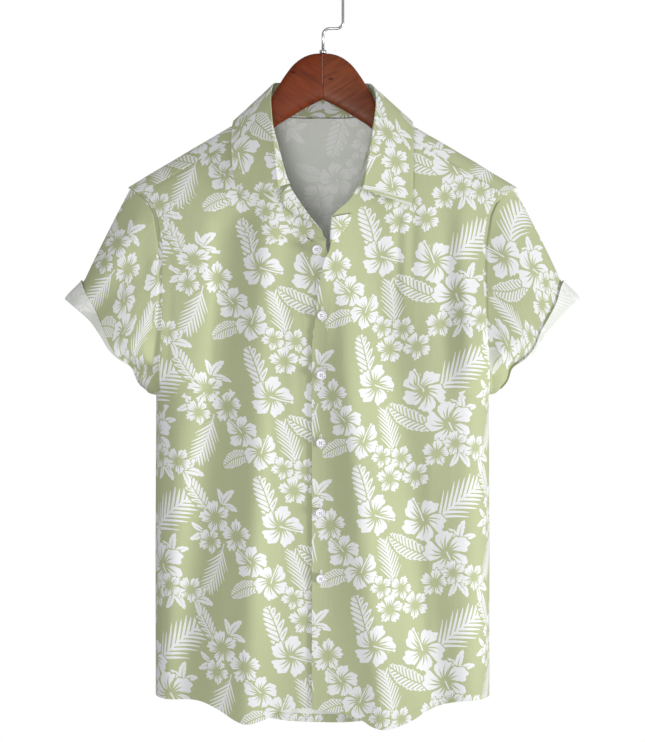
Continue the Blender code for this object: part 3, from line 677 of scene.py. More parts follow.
    def back(self, x: Array, z: Array) -> Array:
        """Depth of the back with its creases."""
        return self.plain_back(x, z) + self._fine(x, z, self.back_creases, self.back_seed)

    def overlap(self, x: Array) -> Array:
        """How far a front leaves the common surface near the closing."""
        return self.lap * (1.0 - smooth_step(np.abs(x), *self.lap_fade))

    def upper_point(self, x: Array, s: Array) -> Array:
        """A point of the shoulders: the ridge less s squared gives its height.

        Args:
            x: place across.
            s: signed root of the drop below the ridge, negative on the front.

        Returns:
            The points, x y z on the last axis.
        """
        z = self.ridge(x) - s * s
        y = np.where(s < 0.0, -self.plain_front(x, z), self.plain_back(x, z))
        return coords(x, y, z)


FORM = BodyForm()


def smooth_edge(heights: tuple[float, ...], places: tuple[float, ...],
                samples: int = 240) -> Callable[[Array], Array]:
    """A free edge as a smooth curve through pairs of height and x.

    Args:
        heights: of the pairs.
        places: x of the pairs.
        samples: points that the curve is read from.

    Returns:
        A function from height to x.
    """
    curve = spline(tuple(zip(heights, places)), samples)
    order = np.argsort(curve[:, 0])
    return lambda z: np.interp(z, curve[order, 0], curve[order, 1])


def meet_armhole(seam_z: Callable[[float], float], start: float = 210.0,
                 steps: int = 80) -> float:
    """x where a seam that runs across reaches the armhole, found by halving the distance.

    Args:
        seam_z: height of the seam for an x.
        start: x to begin from.
        steps: halvings.

    Returns:
        x of the meeting point.
    """
    x = start
    for _ in range(steps):
        x = 0.5 * (x + float(FORM.arm_x(seam_z(x))))
    return x


@dataclass(frozen=True)
class YokeSeams:
    """The two seams of the yoke and how the panels tuck under them."""

    # the front seam is at front_z where x is front_x, and both seams fall outwards
    front_x: float = 109.5
    front_z: float = -202.8
    front_fall: float = 0.571
    back_z: float = -277.0
    back_fall: float = 0.09
    allowance: float = 5.0
    tuck_depth: float = 0.9
    tuck_end: float = 0.5

    def front(self, x: Array) -> Array:
        """Height of the front seam."""
        return self.front_z - self.front_fall * (np.abs(x) - self.front_x)

    def back(self, x: Array) -> Array:
        """Height of the back seam."""
        return self.back_z - self.back_fall * np.abs(x)

    def tuck(self, above_seam: Array) -> Array:
        """How far a panel goes in where it passes under the yoke."""
        return self.tuck_depth * smooth_step(above_seam, -self.allowance, self.tuck_end)


SEAMS = YokeSeams()


@dataclass
class Panel:
    """A body panel between two edges, from its top line to its hem."""

    name: str
    edge_in: Callable[[Array], Array]
    edge_out: Callable[[Array], Array]
    top: Array
    hem: Table
    depth: Depth
    face: float
    rows: int = 150
    hem_steps: tuple[float, ...] = (11.5, 10.6, 10, 9.4, 8.4, 6, 3, 0)
    crowding: float = 1.15
    settle_share: float = 0.45
    hem_samples: int = 300
    foot_passes: int = 20

    def _angle(self, x: Array, z: Array) -> Array:
        """Angle round the body at which x lies: the arcsine of its share of the width."""
        return np.arcsin(np.clip(x / FORM.width(z), -1.0, 1.0))

    def _place(self, part: Array, z: Array) -> Array:
        """x at a share of the angle between the two edges."""
        low, high = self._angle(self.edge_in(z), z), self._angle(self.edge_out(z), z)
        return FORM.width(z) * np.sin(low + (high - low) * part)

    def grid(self) -> Array:
        """Points of the panel.

        Columns lie at even shares of the angle round the body; they ease to those from their
        own places on the top line. Rows run at even heights from it to the hem.

        Returns:
            rows x columns x 3.
        """
        cols = len(self.top)
        share = np.linspace(0.0, 1.0, cols)
        start = self.top[:, 1]
        hem = spline(self.hem, self.hem_samples)
        low, high = (self._angle(edge(start), start) for edge in (self.edge_in, self.edge_out))
        part_top = (self._angle(self.top[:, 0], start) - low) / (high - low)
        foot = np.full(cols, hem[:, 1].mean())
        for _ in range(self.foot_passes):
            foot = np.interp(self._place(share, foot), hem[:, 0], hem[:, 1])
        down = np.linspace(0.0, 1.0, self.rows)[:-1, None] ** self.crowding
        body = start[None] + (foot + self.hem_steps[0] - start)[None] * down
        z = np.vstack((body, foot[None] + np.array(self.hem_steps)[:, None]))
        settle = smooth_step((start - z) / (start - foot), 0.0, self.settle_share)
        part = part_top[None] + (share - part_top)[None] * settle
        x = self._place(part, z)
        return coords(x, self.face * self.depth(x, z), z)

    def chart(self, grid: Array) -> Array:
        """Print position: height down the cloth, and the length of the row from its first point.

        Args:
            grid: the panel's points.

        Returns:
            rows x columns x 2.
        """
        step = np.hypot(np.diff(grid[:, :, 0], axis=1), np.diff(grid[:, :, 1], axis=1))
        step = step * np.sign(grid[:, -1:, 0] - grid[:, :1, 0])
        across = np.concatenate((np.zeros((len(grid), 1)), np.cumsum(step, axis=1)), axis=1)
        return coords(across + grid[:, :1, 0], grid[:, :, 2])


@dataclass
class Body:
    """The two fronts and the back, with their hems and seams."""

    # heights, and x of the closing edge of the front on top and of the one under it
    top_edge_z: tuple[float, ...] = (
        -930, -478, -442, -415, -392, -367, -356, -346, -340, -328, -296)
    top_edge_x: tuple[float, ...] = (-12.8, -12.8, -11.2, -8.4, -6, -1.9, 0.5, 3.6, 7.2, 9.8, 11.4)
    under_edge_z: tuple[float, ...] = (-930, -370, -350, -335, -323, -312)
    under_edge_x: tuple[float, ...] = (10, 10, 7, 3.6, 2.4, -1.2)
    # x and height along the neck edges, from the closing to the yoke, and along the hems
    left_neck: Table = (
        (11.4, -296), (20, -287), (30, -278.5), (38, -268), (44.5, -254), (50, -236), (56, -213),
        (61, -192), (66.5, -178.2))
    right_neck: Table = (
        (-1.2, -312), (-13.2, -298.8), (-22.9, -285.6), (-32.6, -272), (-42.4, -254),
        (-47.5, -238), (-53.5, -215), (-60, -192), (-66.5, -178.2))
    right_hem: Table = (
        (-204, -875), (-181, -876.5), (-148, -877), (-126, -885), (-104, -898), (-89, -902),
        (-75, -899), (-62, -894), (-48, -886), (-13, -884), (12, -885))
    left_hem: Table = (
        (-14, -885), (0, -887), (20, -889.5), (44, -896), (58, -904), (71, -907.5), (85, -906),
        (107, -898), (122, -889.5), (141, -881.5), (164, -876.5), (182, -875.5), (204, -875.5))
    back_hem: Table = (
        (-204, -875), (-150, -886), (-100, -905), (-50, -919), (0, -924), (50, -920), (100, -907),
        (150, -886), (204, -875.5))
    neck_columns: int = 32
    seam_columns: int = 52
    back_columns: int = 141
    back_rows: int = 130
    seam_ease: float = 8.0
    placket: float = 20.5
    placket_trim: float = 8.0
    hem_lift: float = 0.72
    hem_stitch: float = 9.2
    hem_trim: float = 2.0
    left_lay: Lay = Lay(across=-7.5, down=269.8, turn=1.0, lean=0.04)
    right_lay: Lay = Lay(across=178.0, down=282.4, lean=-0.08)
    back_lay: Lay = Lay(across=61.0, down=300.0)
    grids: dict[str, Array] = field(default_factory=dict)

    def _side_edge(self, side: float) -> Callable[[Array], Array]:
        """x of a side edge: the armhole seam, and the side seam below it."""
        return lambda z: FORM.arm_x(z) * side

    def _front_top(self, neck: Table, side: float) -> Array:
        """Top of each column of a front: along the neck edge, then under the yoke seam.

        Args:
            neck: x and height along its neck edge.
            side: sign of x.

        Returns:
            x and height for each column.
        """
        seam_x = side * np.linspace(abs(neck[-1][0]), meet_armhole(SEAMS.front), self.seam_columns)
        rise = SEAMS.allowance * np.minimum(
            1.0, np.linspace(0.0, self.seam_ease, self.seam_columns))
        seam = coords(seam_x, SEAMS.front(seam_x) + rise)
        return np.vstack((spline(neck, self.neck_columns)[:-1], seam))

    def _front_depth(self, side: float) -> Depth:
        """Depth of one front: the common surface, moved out or in where the two lap.

        Args:
            side: 1 for the front that lies on top, -1 for the one under it.

        Returns:
            A function from x and height to depth.
        """
        def depth(x: Array, z: Array) -> Array:
            """The common surface with the lap and the tuck under the yoke."""
            tuck = SEAMS.tuck(z - SEAMS.front(x))
            return FORM.front(x, z) + side * FORM.overlap(x) - tuck
        return depth

    def _back_depth(self, x: Array, z: Array) -> Array:
        """Depth of the back panel with its tuck under the yoke."""
        return FORM.back(x, z) - SEAMS.tuck(z - SEAMS.back(x))

    def panels(self) -> list[tuple[Panel, Lay]]:
        """The three panels, each with its place on the print.

        Returns:
            Left front, right front and back.
        """
        seam_x = np.linspace(-1.0, 1.0, self.back_columns) * meet_armhole(SEAMS.back)
        back_top = coords(seam_x, SEAMS.back(seam_x) + SEAMS.allowance)
        left = Panel("front_left", smooth_edge(self.top_edge_z, self.top_edge_x),
                     self._side_edge(1.0), self._front_top(self.left_neck, 1.0), self.left_hem,
                     self._front_depth(1.0), -1.0)
        right = Panel("front_right", smooth_edge(self.under_edge_z, self.under_edge_x),
                      self._side_edge(-1.0), self._front_top(self.right_neck, -1.0),
                      self.right_hem, self._front_depth(-1.0), -1.0)
        back = Panel("back", self._side_edge(-1.0), self._side_edge(1.0), back_top,
                     self.back_hem, self._back_depth, 1.0, rows=self.back_rows)
        return [(left, self.left_lay), (right, self.right_lay), (back, self.back_lay)]

    def build(self, wardrobe: "Wardrobe") -> None:
        """Makes the panels, the turned-up hems inside them and the stitches that hold them.

        Args:
            wardrobe: the finishes.
        """
        for panel, lay in self.panels():
            grid = panel.grid()
            self.grids[panel.name] = grid
            chart = lay.place(panel.chart(grid))
            Cloth("sewn_" + panel.name, grid, chart).make(
                wardrobe.print_face, wardrobe.wrong_side, "print_cloth", (panel.name,))
            self._hem(panel, grid, chart, wardrobe)

    def _hem(self, panel: Panel, grid: Array, chart: Array, wardrobe: "Wardrobe") -> None:
        """Turned-up hem: the panel's last rows again, a little inside, print facing inwards.

        Args:
            panel: whose hem it is.
            grid: the panel's points.
            chart: their places on the print.
            wardrobe: the finishes.
        """
        rows = len(panel.hem_steps) - 2
        outward = outward_normals(grid)
        band = (grid - self.hem_lift * outward)[-rows:]
        Cloth("hem_" + panel.name, band, chart[-rows:]).make(
            wardrobe.print_face, wardrobe.print_face, "print_cloth")
        lines = [edge_line(grid, self.hem_stitch, self.hem_trim)]
        if panel.name == "front_left":
            sideways = grid.transpose(1, 0, 2)[::-1]
            lines.append(edge_line(sideways, self.placket, self.placket_trim))
        THREAD.sew("stitches_" + panel.name, lines, wardrobe.thread)


def outward_normals(grid: Array, ring: bool = False,
                    heart: Sequence[float] = BODY_HEART) -> Array:
    """A grid's unit normals, turned to face away from a point."""
    normal = grid_normals(grid, ring)
    return normal * np.sign(np.sum(normal * (grid - np.asarray(heart))))


def edge_line(grid: Array, distance: float, trim: float, lift: float = 0.4,
              samples: int = 500) -> tuple[Array, Array]:
    """Line near a grid's last row, for stitches, and the outward directions at it.

    Args:
        grid: rows x columns x 3.
        distance: from the last row.
        trim: length left off at both ends.
        lift: how far the stitches stand off the middle of the cloth.
        samples: points of the line.

    Returns:
        Points and directions.
    """
    outward = outward_normals(grid)
    line = inset(grid, distance, lift, outward)
    facing = unit(inset(grid + outward, distance, 0.0, outward)
                  - inset(grid, distance, 0.0, outward))
    cut = trim / run_length(line)[-1]
    share = np.linspace(cut, 1.0 - cut, samples)
    return along(line, share), along_field(line, facing, share)


THREAD = Thread()


@dataclass
class Yoke:
    """The shoulder piece, drawn in x and s from its front and neck edges to its back seam."""

    neck: Table = (
        (0, 5.65), (20, 5.45), (40, 4.75), (58, 3.55), (69, 2.1), (75.5, 0.4), (74.5, -1.7),
        (70.5, -3.3), (66.5, -4.54))
    corner_back_x: float = 105.0
    rows: int = 61
    crest_row: int = 18
    least_crest: float = 0.18
    neck_columns: int = 49
    seam_columns: int = 46
    lift: float = 0.35
    ripple_high: float = 0.22
    ripple_pace: float = 9.0
    seed: float = 4.2
    edge_passes: int = 60
    stitch_off: float = 1.8
    stitch_trim: float = 1.0
    lay: Lay = Lay(across=40.0, down=262.0)
    grid: Optional[Array] = None

    def surface(self) -> Array:
        """Points of the yoke, each half blended straight from its front edge over the crest.

        Returns:
            rows x columns x 3.
        """
        neck = spline(self.neck, self.neck_columns)
        front_end, back_end = meet_armhole(SEAMS.front), meet_armhole(SEAMS.back)
        front_x = np.linspace(neck[-1, 0], front_end, self.seam_columns)
        front_s = -np.sqrt(FORM.ridge(front_x) - SEAMS.front(front_x))
        start = np.vstack((neck[:-1], coords(front_x, front_s)))
        stop_x = np.concatenate((np.linspace(0.0, self.corner_back_x, self.neck_columns),
                                 np.linspace(self.corner_back_x, back_end, self.seam_columns)[1:]))
        stop = coords(stop_x, np.sqrt(FORM.ridge(stop_x) - SEAMS.back(stop_x)))
        crest = np.maximum(-start[:, 1] / (stop[:, 1] - start[:, 1]), self.least_crest)
        to_crest = np.linspace(0.0, 1.0, self.crest_row + 1)[:, None] * crest
        past = np.linspace(0.0, 1.0, self.rows - self.crest_row)[1:, None] * (1.0 - crest)
        across = np.vstack((to_crest, crest + past))[:, :, None]
        half = start[None] + (stop - start)[None] * across
        edge_x = np.full(self.rows, front_end)
        for _ in range(self.edge_passes):
            edge_x = 0.5 * (edge_x + FORM.arm_x(FORM.ridge(edge_x) - half[:, -1, 1] ** 2))
        pull = np.linspace(0.0, 1.0, self.seam_columns)[None, :] ** 2
        half[:, self.neck_columns - 1:, 0] += (edge_x - half[:, -1, 0])[:, None] * pull
        plan = np.concatenate((half[:, :0:-1] * np.array((-1.0, 1.0)), half), axis=1)
        grid = FORM.upper_point(plan[:, :, 0], plan[:, :, 1])
        wave = ripple(plan[:, :, 0], self.ripple_pace * plan[:, :, 1], self.seed)
        return grid + outward_normals(grid) * (self.lift + self.ripple_high * wave)[:, :, None]

    def build(self, wardrobe: "Wardrobe") -> None:
        """Makes the yoke and the stitches above its seams.

        Args:
            wardrobe: the finishes.
        """
        self.grid = self.surface()
        travel = travel_down(self.grid)
        chart = coords(self.grid[:, :, 0], self.grid[:1, :, 2] + travel)
        Cloth("sewn_yoke", self.grid, self.lay.place(chart)).make(
            wardrobe.print_face, wardrobe.wrong_side, "print_cloth", ("yoke",))
        seam = self.seam_columns
        edges = (self.grid[::-1, :seam], self.grid[::-1, -seam:], self.grid)
        lines = [edge_line(edge, self.stitch_off, self.stitch_trim) for edge in edges]
        THREAD.sew("stitches_yoke", lines, wardrobe.thread)


@dataclass
class Sleeve:
    """A short sleeve from its armhole to its opening, with its turned-up end.

    Angles run round the sleeve in degrees or radians from its top, positive towards the front.
    """

    side: Side
    # angle at the armhole, angle at the opening, half width and rise of each
    folds: Table
    lay: Lay
    cuff_top: tuple[float, float] = (301.0, -395.0)
    cuff_foot: tuple[float, float] = (215.0, -503.0)
    cuff_half_depth: float = 42.0
    flare: float = 12.0
    flare_from: float = 0.82
    crown_half: float = 42.0
    crown_drop: float = 5.0
    fullness: float = 7.0
    least_full: float = 0.35
    outward_x: float = 0.75
    outward_z: float = 0.55
    sink_z: float = 0.6
    ripple_high: float = 0.45
    ripple_around: float = 1.7
    ripple_down: float = 150.0
    seed: float = 1.9
    columns: int = 128
    rows: int = 62
    fold_share: float = 0.995
    turnup_share: float = 0.845
    turnup_slant: float = 0.78
    slant_power: float = 2.5
    turnup_lift: float = 1.7
    turnup_rows: int = 16
    roll_steps: int = 6
    fold_from: float = 0.25
    ripple_from: float = 0.15
    edge_gape: float = 0.7
    # height, waves and phase of each wave by which the turned-up edge stands off
    gapes: Table = ((0.5, 3.0, 1.1), (0.4, 7.0, 0.0))
    # how far the rows of the seam allowance reach under the body, and how deep they lie there
    allowance: Table = ((6, 1.3), (3, 1.1), (0.8, 0.9))
    allowance_per: float = 100.0
    seam_lean: float = 0.25

    def tucked(self) -> Array:
        """Rows of the seam allowance: the armhole drawn inwards on the body and sunk below it.

        Returns:
            rows x columns x 3.
        """
        turn, seam = self.armhole()
        side = self.side.value
        x = np.abs(seam[:, 0])
        way = np.where(turn > 0.0, -1.0, 1.0)
        s = way * np.sqrt(np.maximum(FORM.ridge(x) - seam[:, 2], 0.0))
        sink = unit(coords(0.0 * turn, np.sin(turn), -self.sink_z * np.cos(turn)))
        mirror = np.array((side, 1.0, 1.0))
        return np.stack([FORM.upper_point(x - reach, s) * mirror + sink * depth
                         for reach, depth in self.allowance])

    def armhole(self) -> tuple[Array, Array]:
        """The armhole seam, from the underarm up the back and down the front.

        Its height swings between underarm and shoulder with the cosine of the angle; front and
        back meet exactly at its two ends.

        Returns:
            Angles, and the points at them.
        """
        turn = np.linspace(-math.pi, math.pi, self.columns, endpoint=False)
        middle = (FORM.shoulder_z + FORM.underarm_z) / 2.0
        z = middle + (FORM.shoulder_z - FORM.underarm_z) / 2.0 * np.cos(turn)
        x = FORM.arm_x(z)
        y = np.where(turn > 0.0, -FORM.front(x, z), FORM.back(x, z))
        y = np.where(np.abs(np.sin(turn)) < 1e-6, 0.0, y)
        return turn, coords(self.side.value * x, y, z)

    def _each_point(self, shares: Array) -> Array:
        """Shares of the length for every point, from one for each row or for each point."""
        return shares if shares.ndim == 2 else shares[:, None] + np.zeros(self.columns)

    def surface(self, shares: Array) -> Array:
        """The sleeve: armhole blended straight to the opening, then filled out and folded.

        The opening is an ellipse. Fullness is a half sine of the share, a fold is a bell across
        its angle, and the crown is drawn down at the seam and flared at the opening.

        Args:
            shares: of the length, one for each row, or one for each point as rows x columns.

        Returns:
            rows x columns x 3.
        """
        turn, seam = self.armhole()
        top, foot = np.array(self.cuff_top), np.array(self.cuff_foot)
        centre, half = (top + foot) / 2.0, (top - foot) / 2.0
        side = self.side.value
        end = coords(side * (centre[0] + half[0] * np.cos(turn)),
                     -self.cuff_half_depth * np.sin(turn),
                     centre[1] + half[1] * np.cos(turn))
        share = self._each_point(shares)
        grid = seam[None] + (end - seam)[None] * share[:, :, None]
        outward = unit(coords(self.outward_x * side, -np.sin(turn),
                              self.outward_z * np.cos(turn)))
        full = self.least_full + (1.0 - self.least_full) * np.abs(np.sin(turn))
        rise = self.fullness * np.sin(math.pi * share) * full[None]
        degrees = np.degrees(turn)[None]
        grow = smooth_step(share, 0.0, self.fold_from)
        for at_seam, at_end, wide, high in self.folds:
            middle = at_seam + (at_end - at_seam) * share
            off = (degrees - middle + 180.0) % 360.0 - 180.0
            rise = rise + high * grow * np.exp(-(off / wide) ** 2)
        wave = ripple(degrees * self.ripple_around, share * self.ripple_down, self.seed + side)
        rise = rise + self.ripple_high * wave * smooth_step(share, 0.0, self.ripple_from)
        grid = grid + outward[None] * rise[:, :, None]
        flare = self.flare * smooth_step(share, self.flare_from, 1.0)
        crown = np.exp(-(np.degrees(turn) / self.crown_half) ** 2)[None]
        grid[:, :, 0] += side * crown * (flare - self.crown_drop * np.cos(share * math.pi / 2.0))
        return grid

    def chart(self, grid: Array, shares: Array) -> Array:
        """Print position: length round each ring from the middle of the front, and down it.

        Args:
            grid: points of the sleeve.
            shares: of its length, as surface takes them.

        Returns:
            rows x (columns + 1) x 2, the last column closing the ring.
        """
        closed = np.concatenate((grid, grid[:, :1]), axis=1)
        around = travel_down(closed.transpose(1, 0, 2)).T
        front = 3 * self.columns // 4
        around = (around - around[:, front:front + 1]) * -self.side.value
        seam = self.armhole()[1]
        length = np.linalg.norm(self.surface(np.array((0.0, 1.0)))[1] - seam, axis=1)
        down = self.seam_lean * (seam[:, 2] - seam[front, 2]) - self._each_point(shares) * length
        return coords(around, np.concatenate((down, down[:, :1]), axis=1))

    def build(self, wardrobe: "Wardrobe") -> None:
        """Makes the sleeve and its turn-up.

        Args:
            wardrobe: the finishes.
        """
        word = self.side.word
        shares = np.linspace(0.0, self.fold_share, self.rows)
        grid = np.concatenate((self.tucked(), self.surface(shares)))
        shares = np.concatenate((-np.array(self.allowance)[:, 0] / self.allowance_per, shares))
        chart = self.lay.place(self.chart(grid, shares))
        heart = tuple(grid.reshape(-1, 3).mean(axis=0))
        Cloth("sewn_sleeve_" + word, grid, chart, ring=True, heart=heart).make(
            wardrobe.print_face, wardrobe.wrong_side, "print_cloth", ("sleeve_" + word,))
        turnup, turned = self.turnup(heart)
        uv = self.lay.place(self.chart(turnup, turned))
        Cloth("sewn_turnup_" + word, turnup, uv, ring=True, heart=heart).make(
            wardrobe.wrong_side, wardrobe.print_face, "wrong_side", ("turnup_" + word,))

    def turnup(self, heart: Sequence[float]) -> tuple[Array, Array]:
        """The hem turned up: a half-round roll at the fold, then the sleeve again, moved out.

        Its depth is fullest at the top and loses the slanted share of it by the underarm, as a
        power of a cosine. Its free edge stands off in waves.

        Args:
            heart: a point inside the sleeve.

        Returns:
            Its points, and the shares of the sleeve's length at them, counted on past the fold.
        """
        turn = self.armhole()[0][None]
        kept = 1.0 - self.turnup_slant * (1.0 - (0.5 + 0.5 * np.cos(turn)) ** self.slant_power)
        depth = np.linspace(1.0 - self.turnup_share, 1.0 - self.fold_share, self.turnup_rows)
        upper = 1.0 - depth[:, None] * kept
        base = self.surface(upper)
        outward = outward_normals(base, True, heart)
        ahead = unit(base[-1] - base[-2])
        roll = self.turnup_lift / 2.0
        angle = np.linspace(0.0, math.pi, self.roll_steps)[:-1, None, None]
        bend = base[-1:] + outward[-1:] * roll * (1.0 - np.cos(angle))
        bend = bend + ahead * roll * np.sin(angle)
        rise = np.linspace(0.0, 1.0, self.turnup_rows)[:, None]
        gape = self.edge_gape * rise ** 2
        for high, waves, phase in self.gapes:
            gape = gape + high * rise * np.sin(waves * turn + phase)
        cuff = base[::-1] + outward[::-1] * (self.turnup_lift + gape)[:, :, None]
        ends = np.repeat(upper[-1:], self.roll_steps - 1, axis=0)
        turned = 2.0 * self.fold_share - np.concatenate((ends, upper[::-1]))
        return np.concatenate((bend, cuff), axis=0), turned


@dataclass
class Collar:
    """The one-piece collar: a stand, a roll and a leaf on each side."""

    # length along the neck seam from the centre back, fold x y z, outer edge x y z
    left: Table = (
        (0, 0, 33, -127, 0, 37, -191), (35, 30, 30, -127, 45, 36, -189),
        (65, 50, 20, -128.5, 84, 24, -185), (86, 58.5, 8, -130.5, 104, 8, -176.5),
        (98, 62.5, -4, -136, 109.5, -8, -178.5), (112, 65.5, -18, -152, 110.5, -21, -192),
        (134, 62, -35, -184, 110, -32, -213), (162, 57.5, -47, -214, 109.5, -38, -240),
        (186, 53, -53, -238, 109, -43, -262), (203, 50.5, -56, -254, 108.5, -46, -276),
        (214, 48.8, -57, -264.5, 106.5, -48, -284))
    right: Table = (
        (0, 0, 33, -127, 0, 37, -191), (35, -30, 30, -127, -45, 36, -189),
        (65, -50, 20, -128, -84, 24, -185), (86, -58, 8, -129.5, -103, 8, -176),
        (98, -61.5, -4, -135, -108.5, -8, -178), (112, -63, -18, -152, -110, -21, -193),
        (134, -60.5, -35, -186, -110, -32, -212), (162, -57.5, -47, -216, -108.5, -38, -236),
        (182, -55, -53, -240, -104, -43, -262), (197, -52.8, -56, -261, -99.5, -48, -280.5))
    clear: float = 2.5
    seam_off: float = 1.2
    roll: float = 3.2
    rise_from: float = 50.0
    rise_to: float = 88.0
    spread: float = 0.35
    beside: float = 2.5
    stand_shares: tuple[float, ...] = (0.5, 1.0)
    leaf_shares: tuple[float, ...] = (0.14, 0.3, 0.48, 0.66, 0.84, 1)
    half_columns: tuple[int, int] = (23, 22)
    fine: int = 6
    fine_rows: tuple[int, int, int] = (13, 17, 43)
    fold_rows: tuple[float, float] = (3.0, 5.0)
    passes: int = 3
    yoke_samples: int = 60
    front_samples: int = 80
    fold_samples: int = 200
    front_rows: int = 70
    stitches: tuple[float, float] = (4.8, 8.2)
    stitch_lift: float = 0.6
    leaf_row: int = 30
    wall: float = 0.9
    heart: tuple[float, float, float] = (0.0, 0.0, -300.0)
    lay: Lay = Lay(across=-103.1, down=47.7, turn=66.0)

    def _neck_line(self, yoke: Yoke, neck: Table, side: float) -> Array:
        """Neck seam of one side in space, from the centre back to the front edge.

        Args:
            yoke: whose neck edge it follows first.
            neck: x and height of the front's neck edge.
            side: sign of x.

        Returns:
            points x 3.
        """
        part = spline(yoke.neck, self.yoke_samples)
        front = spline(neck[::-1], self.front_samples)[1:]
        x = np.abs(front[:, 0]) * np.sign(side * front[:, 0])
        y = -FORM.plain_front(x, front[:, 1])
        line = np.vstack((FORM.upper_point(part[:, 0], part[:, 1]),
                          coords(x, y, front[:, 1])))
        line[:, 0] *= side
        return line

    def _keep_off(self, points: Array, layers: Sequence[tuple[Array, Array]]) -> Array:
        """Points moved out along the nearest normal until they clear the cloth below them.

        Args:
            points: points x 3.
            layers: the cloth below, as points and outward normals.

        Returns:
            The moved points.
        """
        moved = points.copy()
        for samples, normals in layers:
            for _ in range(self.passes):
                gap = ((moved[:, None] - samples[None]) ** 2).sum(axis=2)
                near = gap.argmin(axis=1)
                off = moved - samples[near]
                height = np.sum(off * normals[near], axis=1)
                aside = np.sqrt(np.maximum(np.sum(off * off, axis=1) - height ** 2, 0.0))
                short = np.where((height < self.clear) & (aside < self.beside),
                                 self.clear - height, 0.0)
                moved = moved + normals[near] * short[:, None]
        return moved

    def _half(self, table: Table, seam_line: Array, cols: int,
              layers: Sequence[tuple[Array, Array]]) -> Array:
        """Half of the collar: columns from the centre back to its front end.

        Args:
            table: its fold and outer edge.
            seam_line: the neck seam that it stands on.
            cols: columns to make.
            layers: cloth below it, as points and outward normals.

        Returns:
            rows x columns x 3.
        """
        run = run_length(seam_line)
        fine = spline(table, self.fold_samples)
        at = np.linspace(0.0, table[-1][0], cols)
        read = [np.interp(at, fine[:, 0], column) for column in fine[:, 1:].T]
        fold, outer = np.stack(read[:3], axis=1), np.stack(read[3:], axis=1)
        seam = np.stack([np.interp(at, run, column) for column in seam_line.T], axis=1)
        ahead = unit(np.gradient(seam, axis=0))
        height = smooth_step(at, self.rise_from, self.rise_to)[:, None]
        up = np.array((0.0, 0.0, 1.0))
        toward = unit(-seam * np.array((1.0, 0.0, 0.0)))
        off = up * (1.0 - height) + (toward + self.spread * up) * height
        off = unit(off - ahead * np.sum(off * ahead, axis=1)[:, None])
        first = seam + off * self.seam_off
        face = np.cross(ahead, off)
        face = face * np.sign(np.sum(face * (fold - first), axis=1))[:, None]
        fall, rise = unit(outer - fold), unit(fold - first)
        roll_in = fold - rise * self.roll
        roll_out = self._keep_off(fold + fall * self.roll, layers)
        outer = self._keep_off(outer, layers)
        stand = first + (face * height + rise * (1.0 - height)) * self.clear
        rows = [first, stand]
        rows += [self._keep_off(stand + (roll_in - stand) * t, layers) for t in self.stand_shares]
        rows += [fold, roll_out]
        rows += [self._keep_off(roll_out + (outer - roll_out) * t, layers)
                 for t in self.leaf_shares]
        return np.stack(rows, axis=0)

    def surface(self, yoke: Yoke, body: Body) -> Array:
        """The whole collar, refined between its worked-out lines with a smooth curve.

        Args:
            yoke: the cloth below it at the back and shoulders.
            body: the fronts below its leaves.

        Returns:
            rows x columns x 3.
        """
        def layer(grid: Array) -> tuple[Array, Array]:
            """Points and outward normals of a grid as flat lists."""
            return grid.reshape(-1, 3), outward_normals(grid).reshape(-1, 3)
        yoke_layer = layer(yoke.grid[::2, ::2])
        fronts = {name: layer(body.grids[name][:self.front_rows:2, ::2])
                  for name in ("front_left", "front_right")}
        left = self._half(self.left, self._neck_line(yoke, body.left_neck, 1.0),
                          self.half_columns[0], (yoke_layer, fronts["front_left"]))
        right = self._half(self.right, self._neck_line(yoke, body.right_neck, -1.0),
                           self.half_columns[1], (yoke_layer, fronts["front_right"]))
        coarse = np.concatenate((right[:, :0:-1], left), axis=1)
        ends = (0.0, *self.fold_rows, len(coarse) - 1.0)
        rows = np.unique(np.concatenate([np.linspace(start, stop, count) for start, stop, count
                                         in zip(ends, ends[1:], self.fine_rows)]))
        cols = np.linspace(0.0, coarse.shape[1] - 1.0, (coarse.shape[1] - 1) * self.fine + 1)
        return catmull(catmull(coarse, rows).transpose(1, 0, 2), cols).transpose(1, 0, 2)

    def build(self, wardrobe: "Wardrobe", yoke: Yoke, body: Body) -> None:
        """Makes the collar and its two rows of stitches.

        Args:
            wardrobe: the finishes.
            yoke: the yoke that it stands on.
            body: the fronts that it lies on.
        """
        grid = self.surface(yoke, body)
        travel = travel_down(grid)
        middle = len(grid) // 2
        along_fold = run_length(grid[middle])
        along_fold = along_fold - along_fold[len(along_fold) // 2]
        chart = coords(along_fold, travel)
        Cloth("sewn_collar", grid, self.lay.place(chart), heart=self.heart, wall=self.wall).make(
            wardrobe.print_face, wardrobe.print_face, "print_cloth", ("collar",))
        leaf = grid[self.leaf_row:]
        sideways = leaf.transpose(1, 0, 2)
        lines = [edge_line(edge, distance, distance, self.stitch_lift)
                 for distance in self.stitches for edge in (leaf, sideways, sideways[::-1])]
        THREAD.sew("stitches_collar", lines, wardrobe.thread)


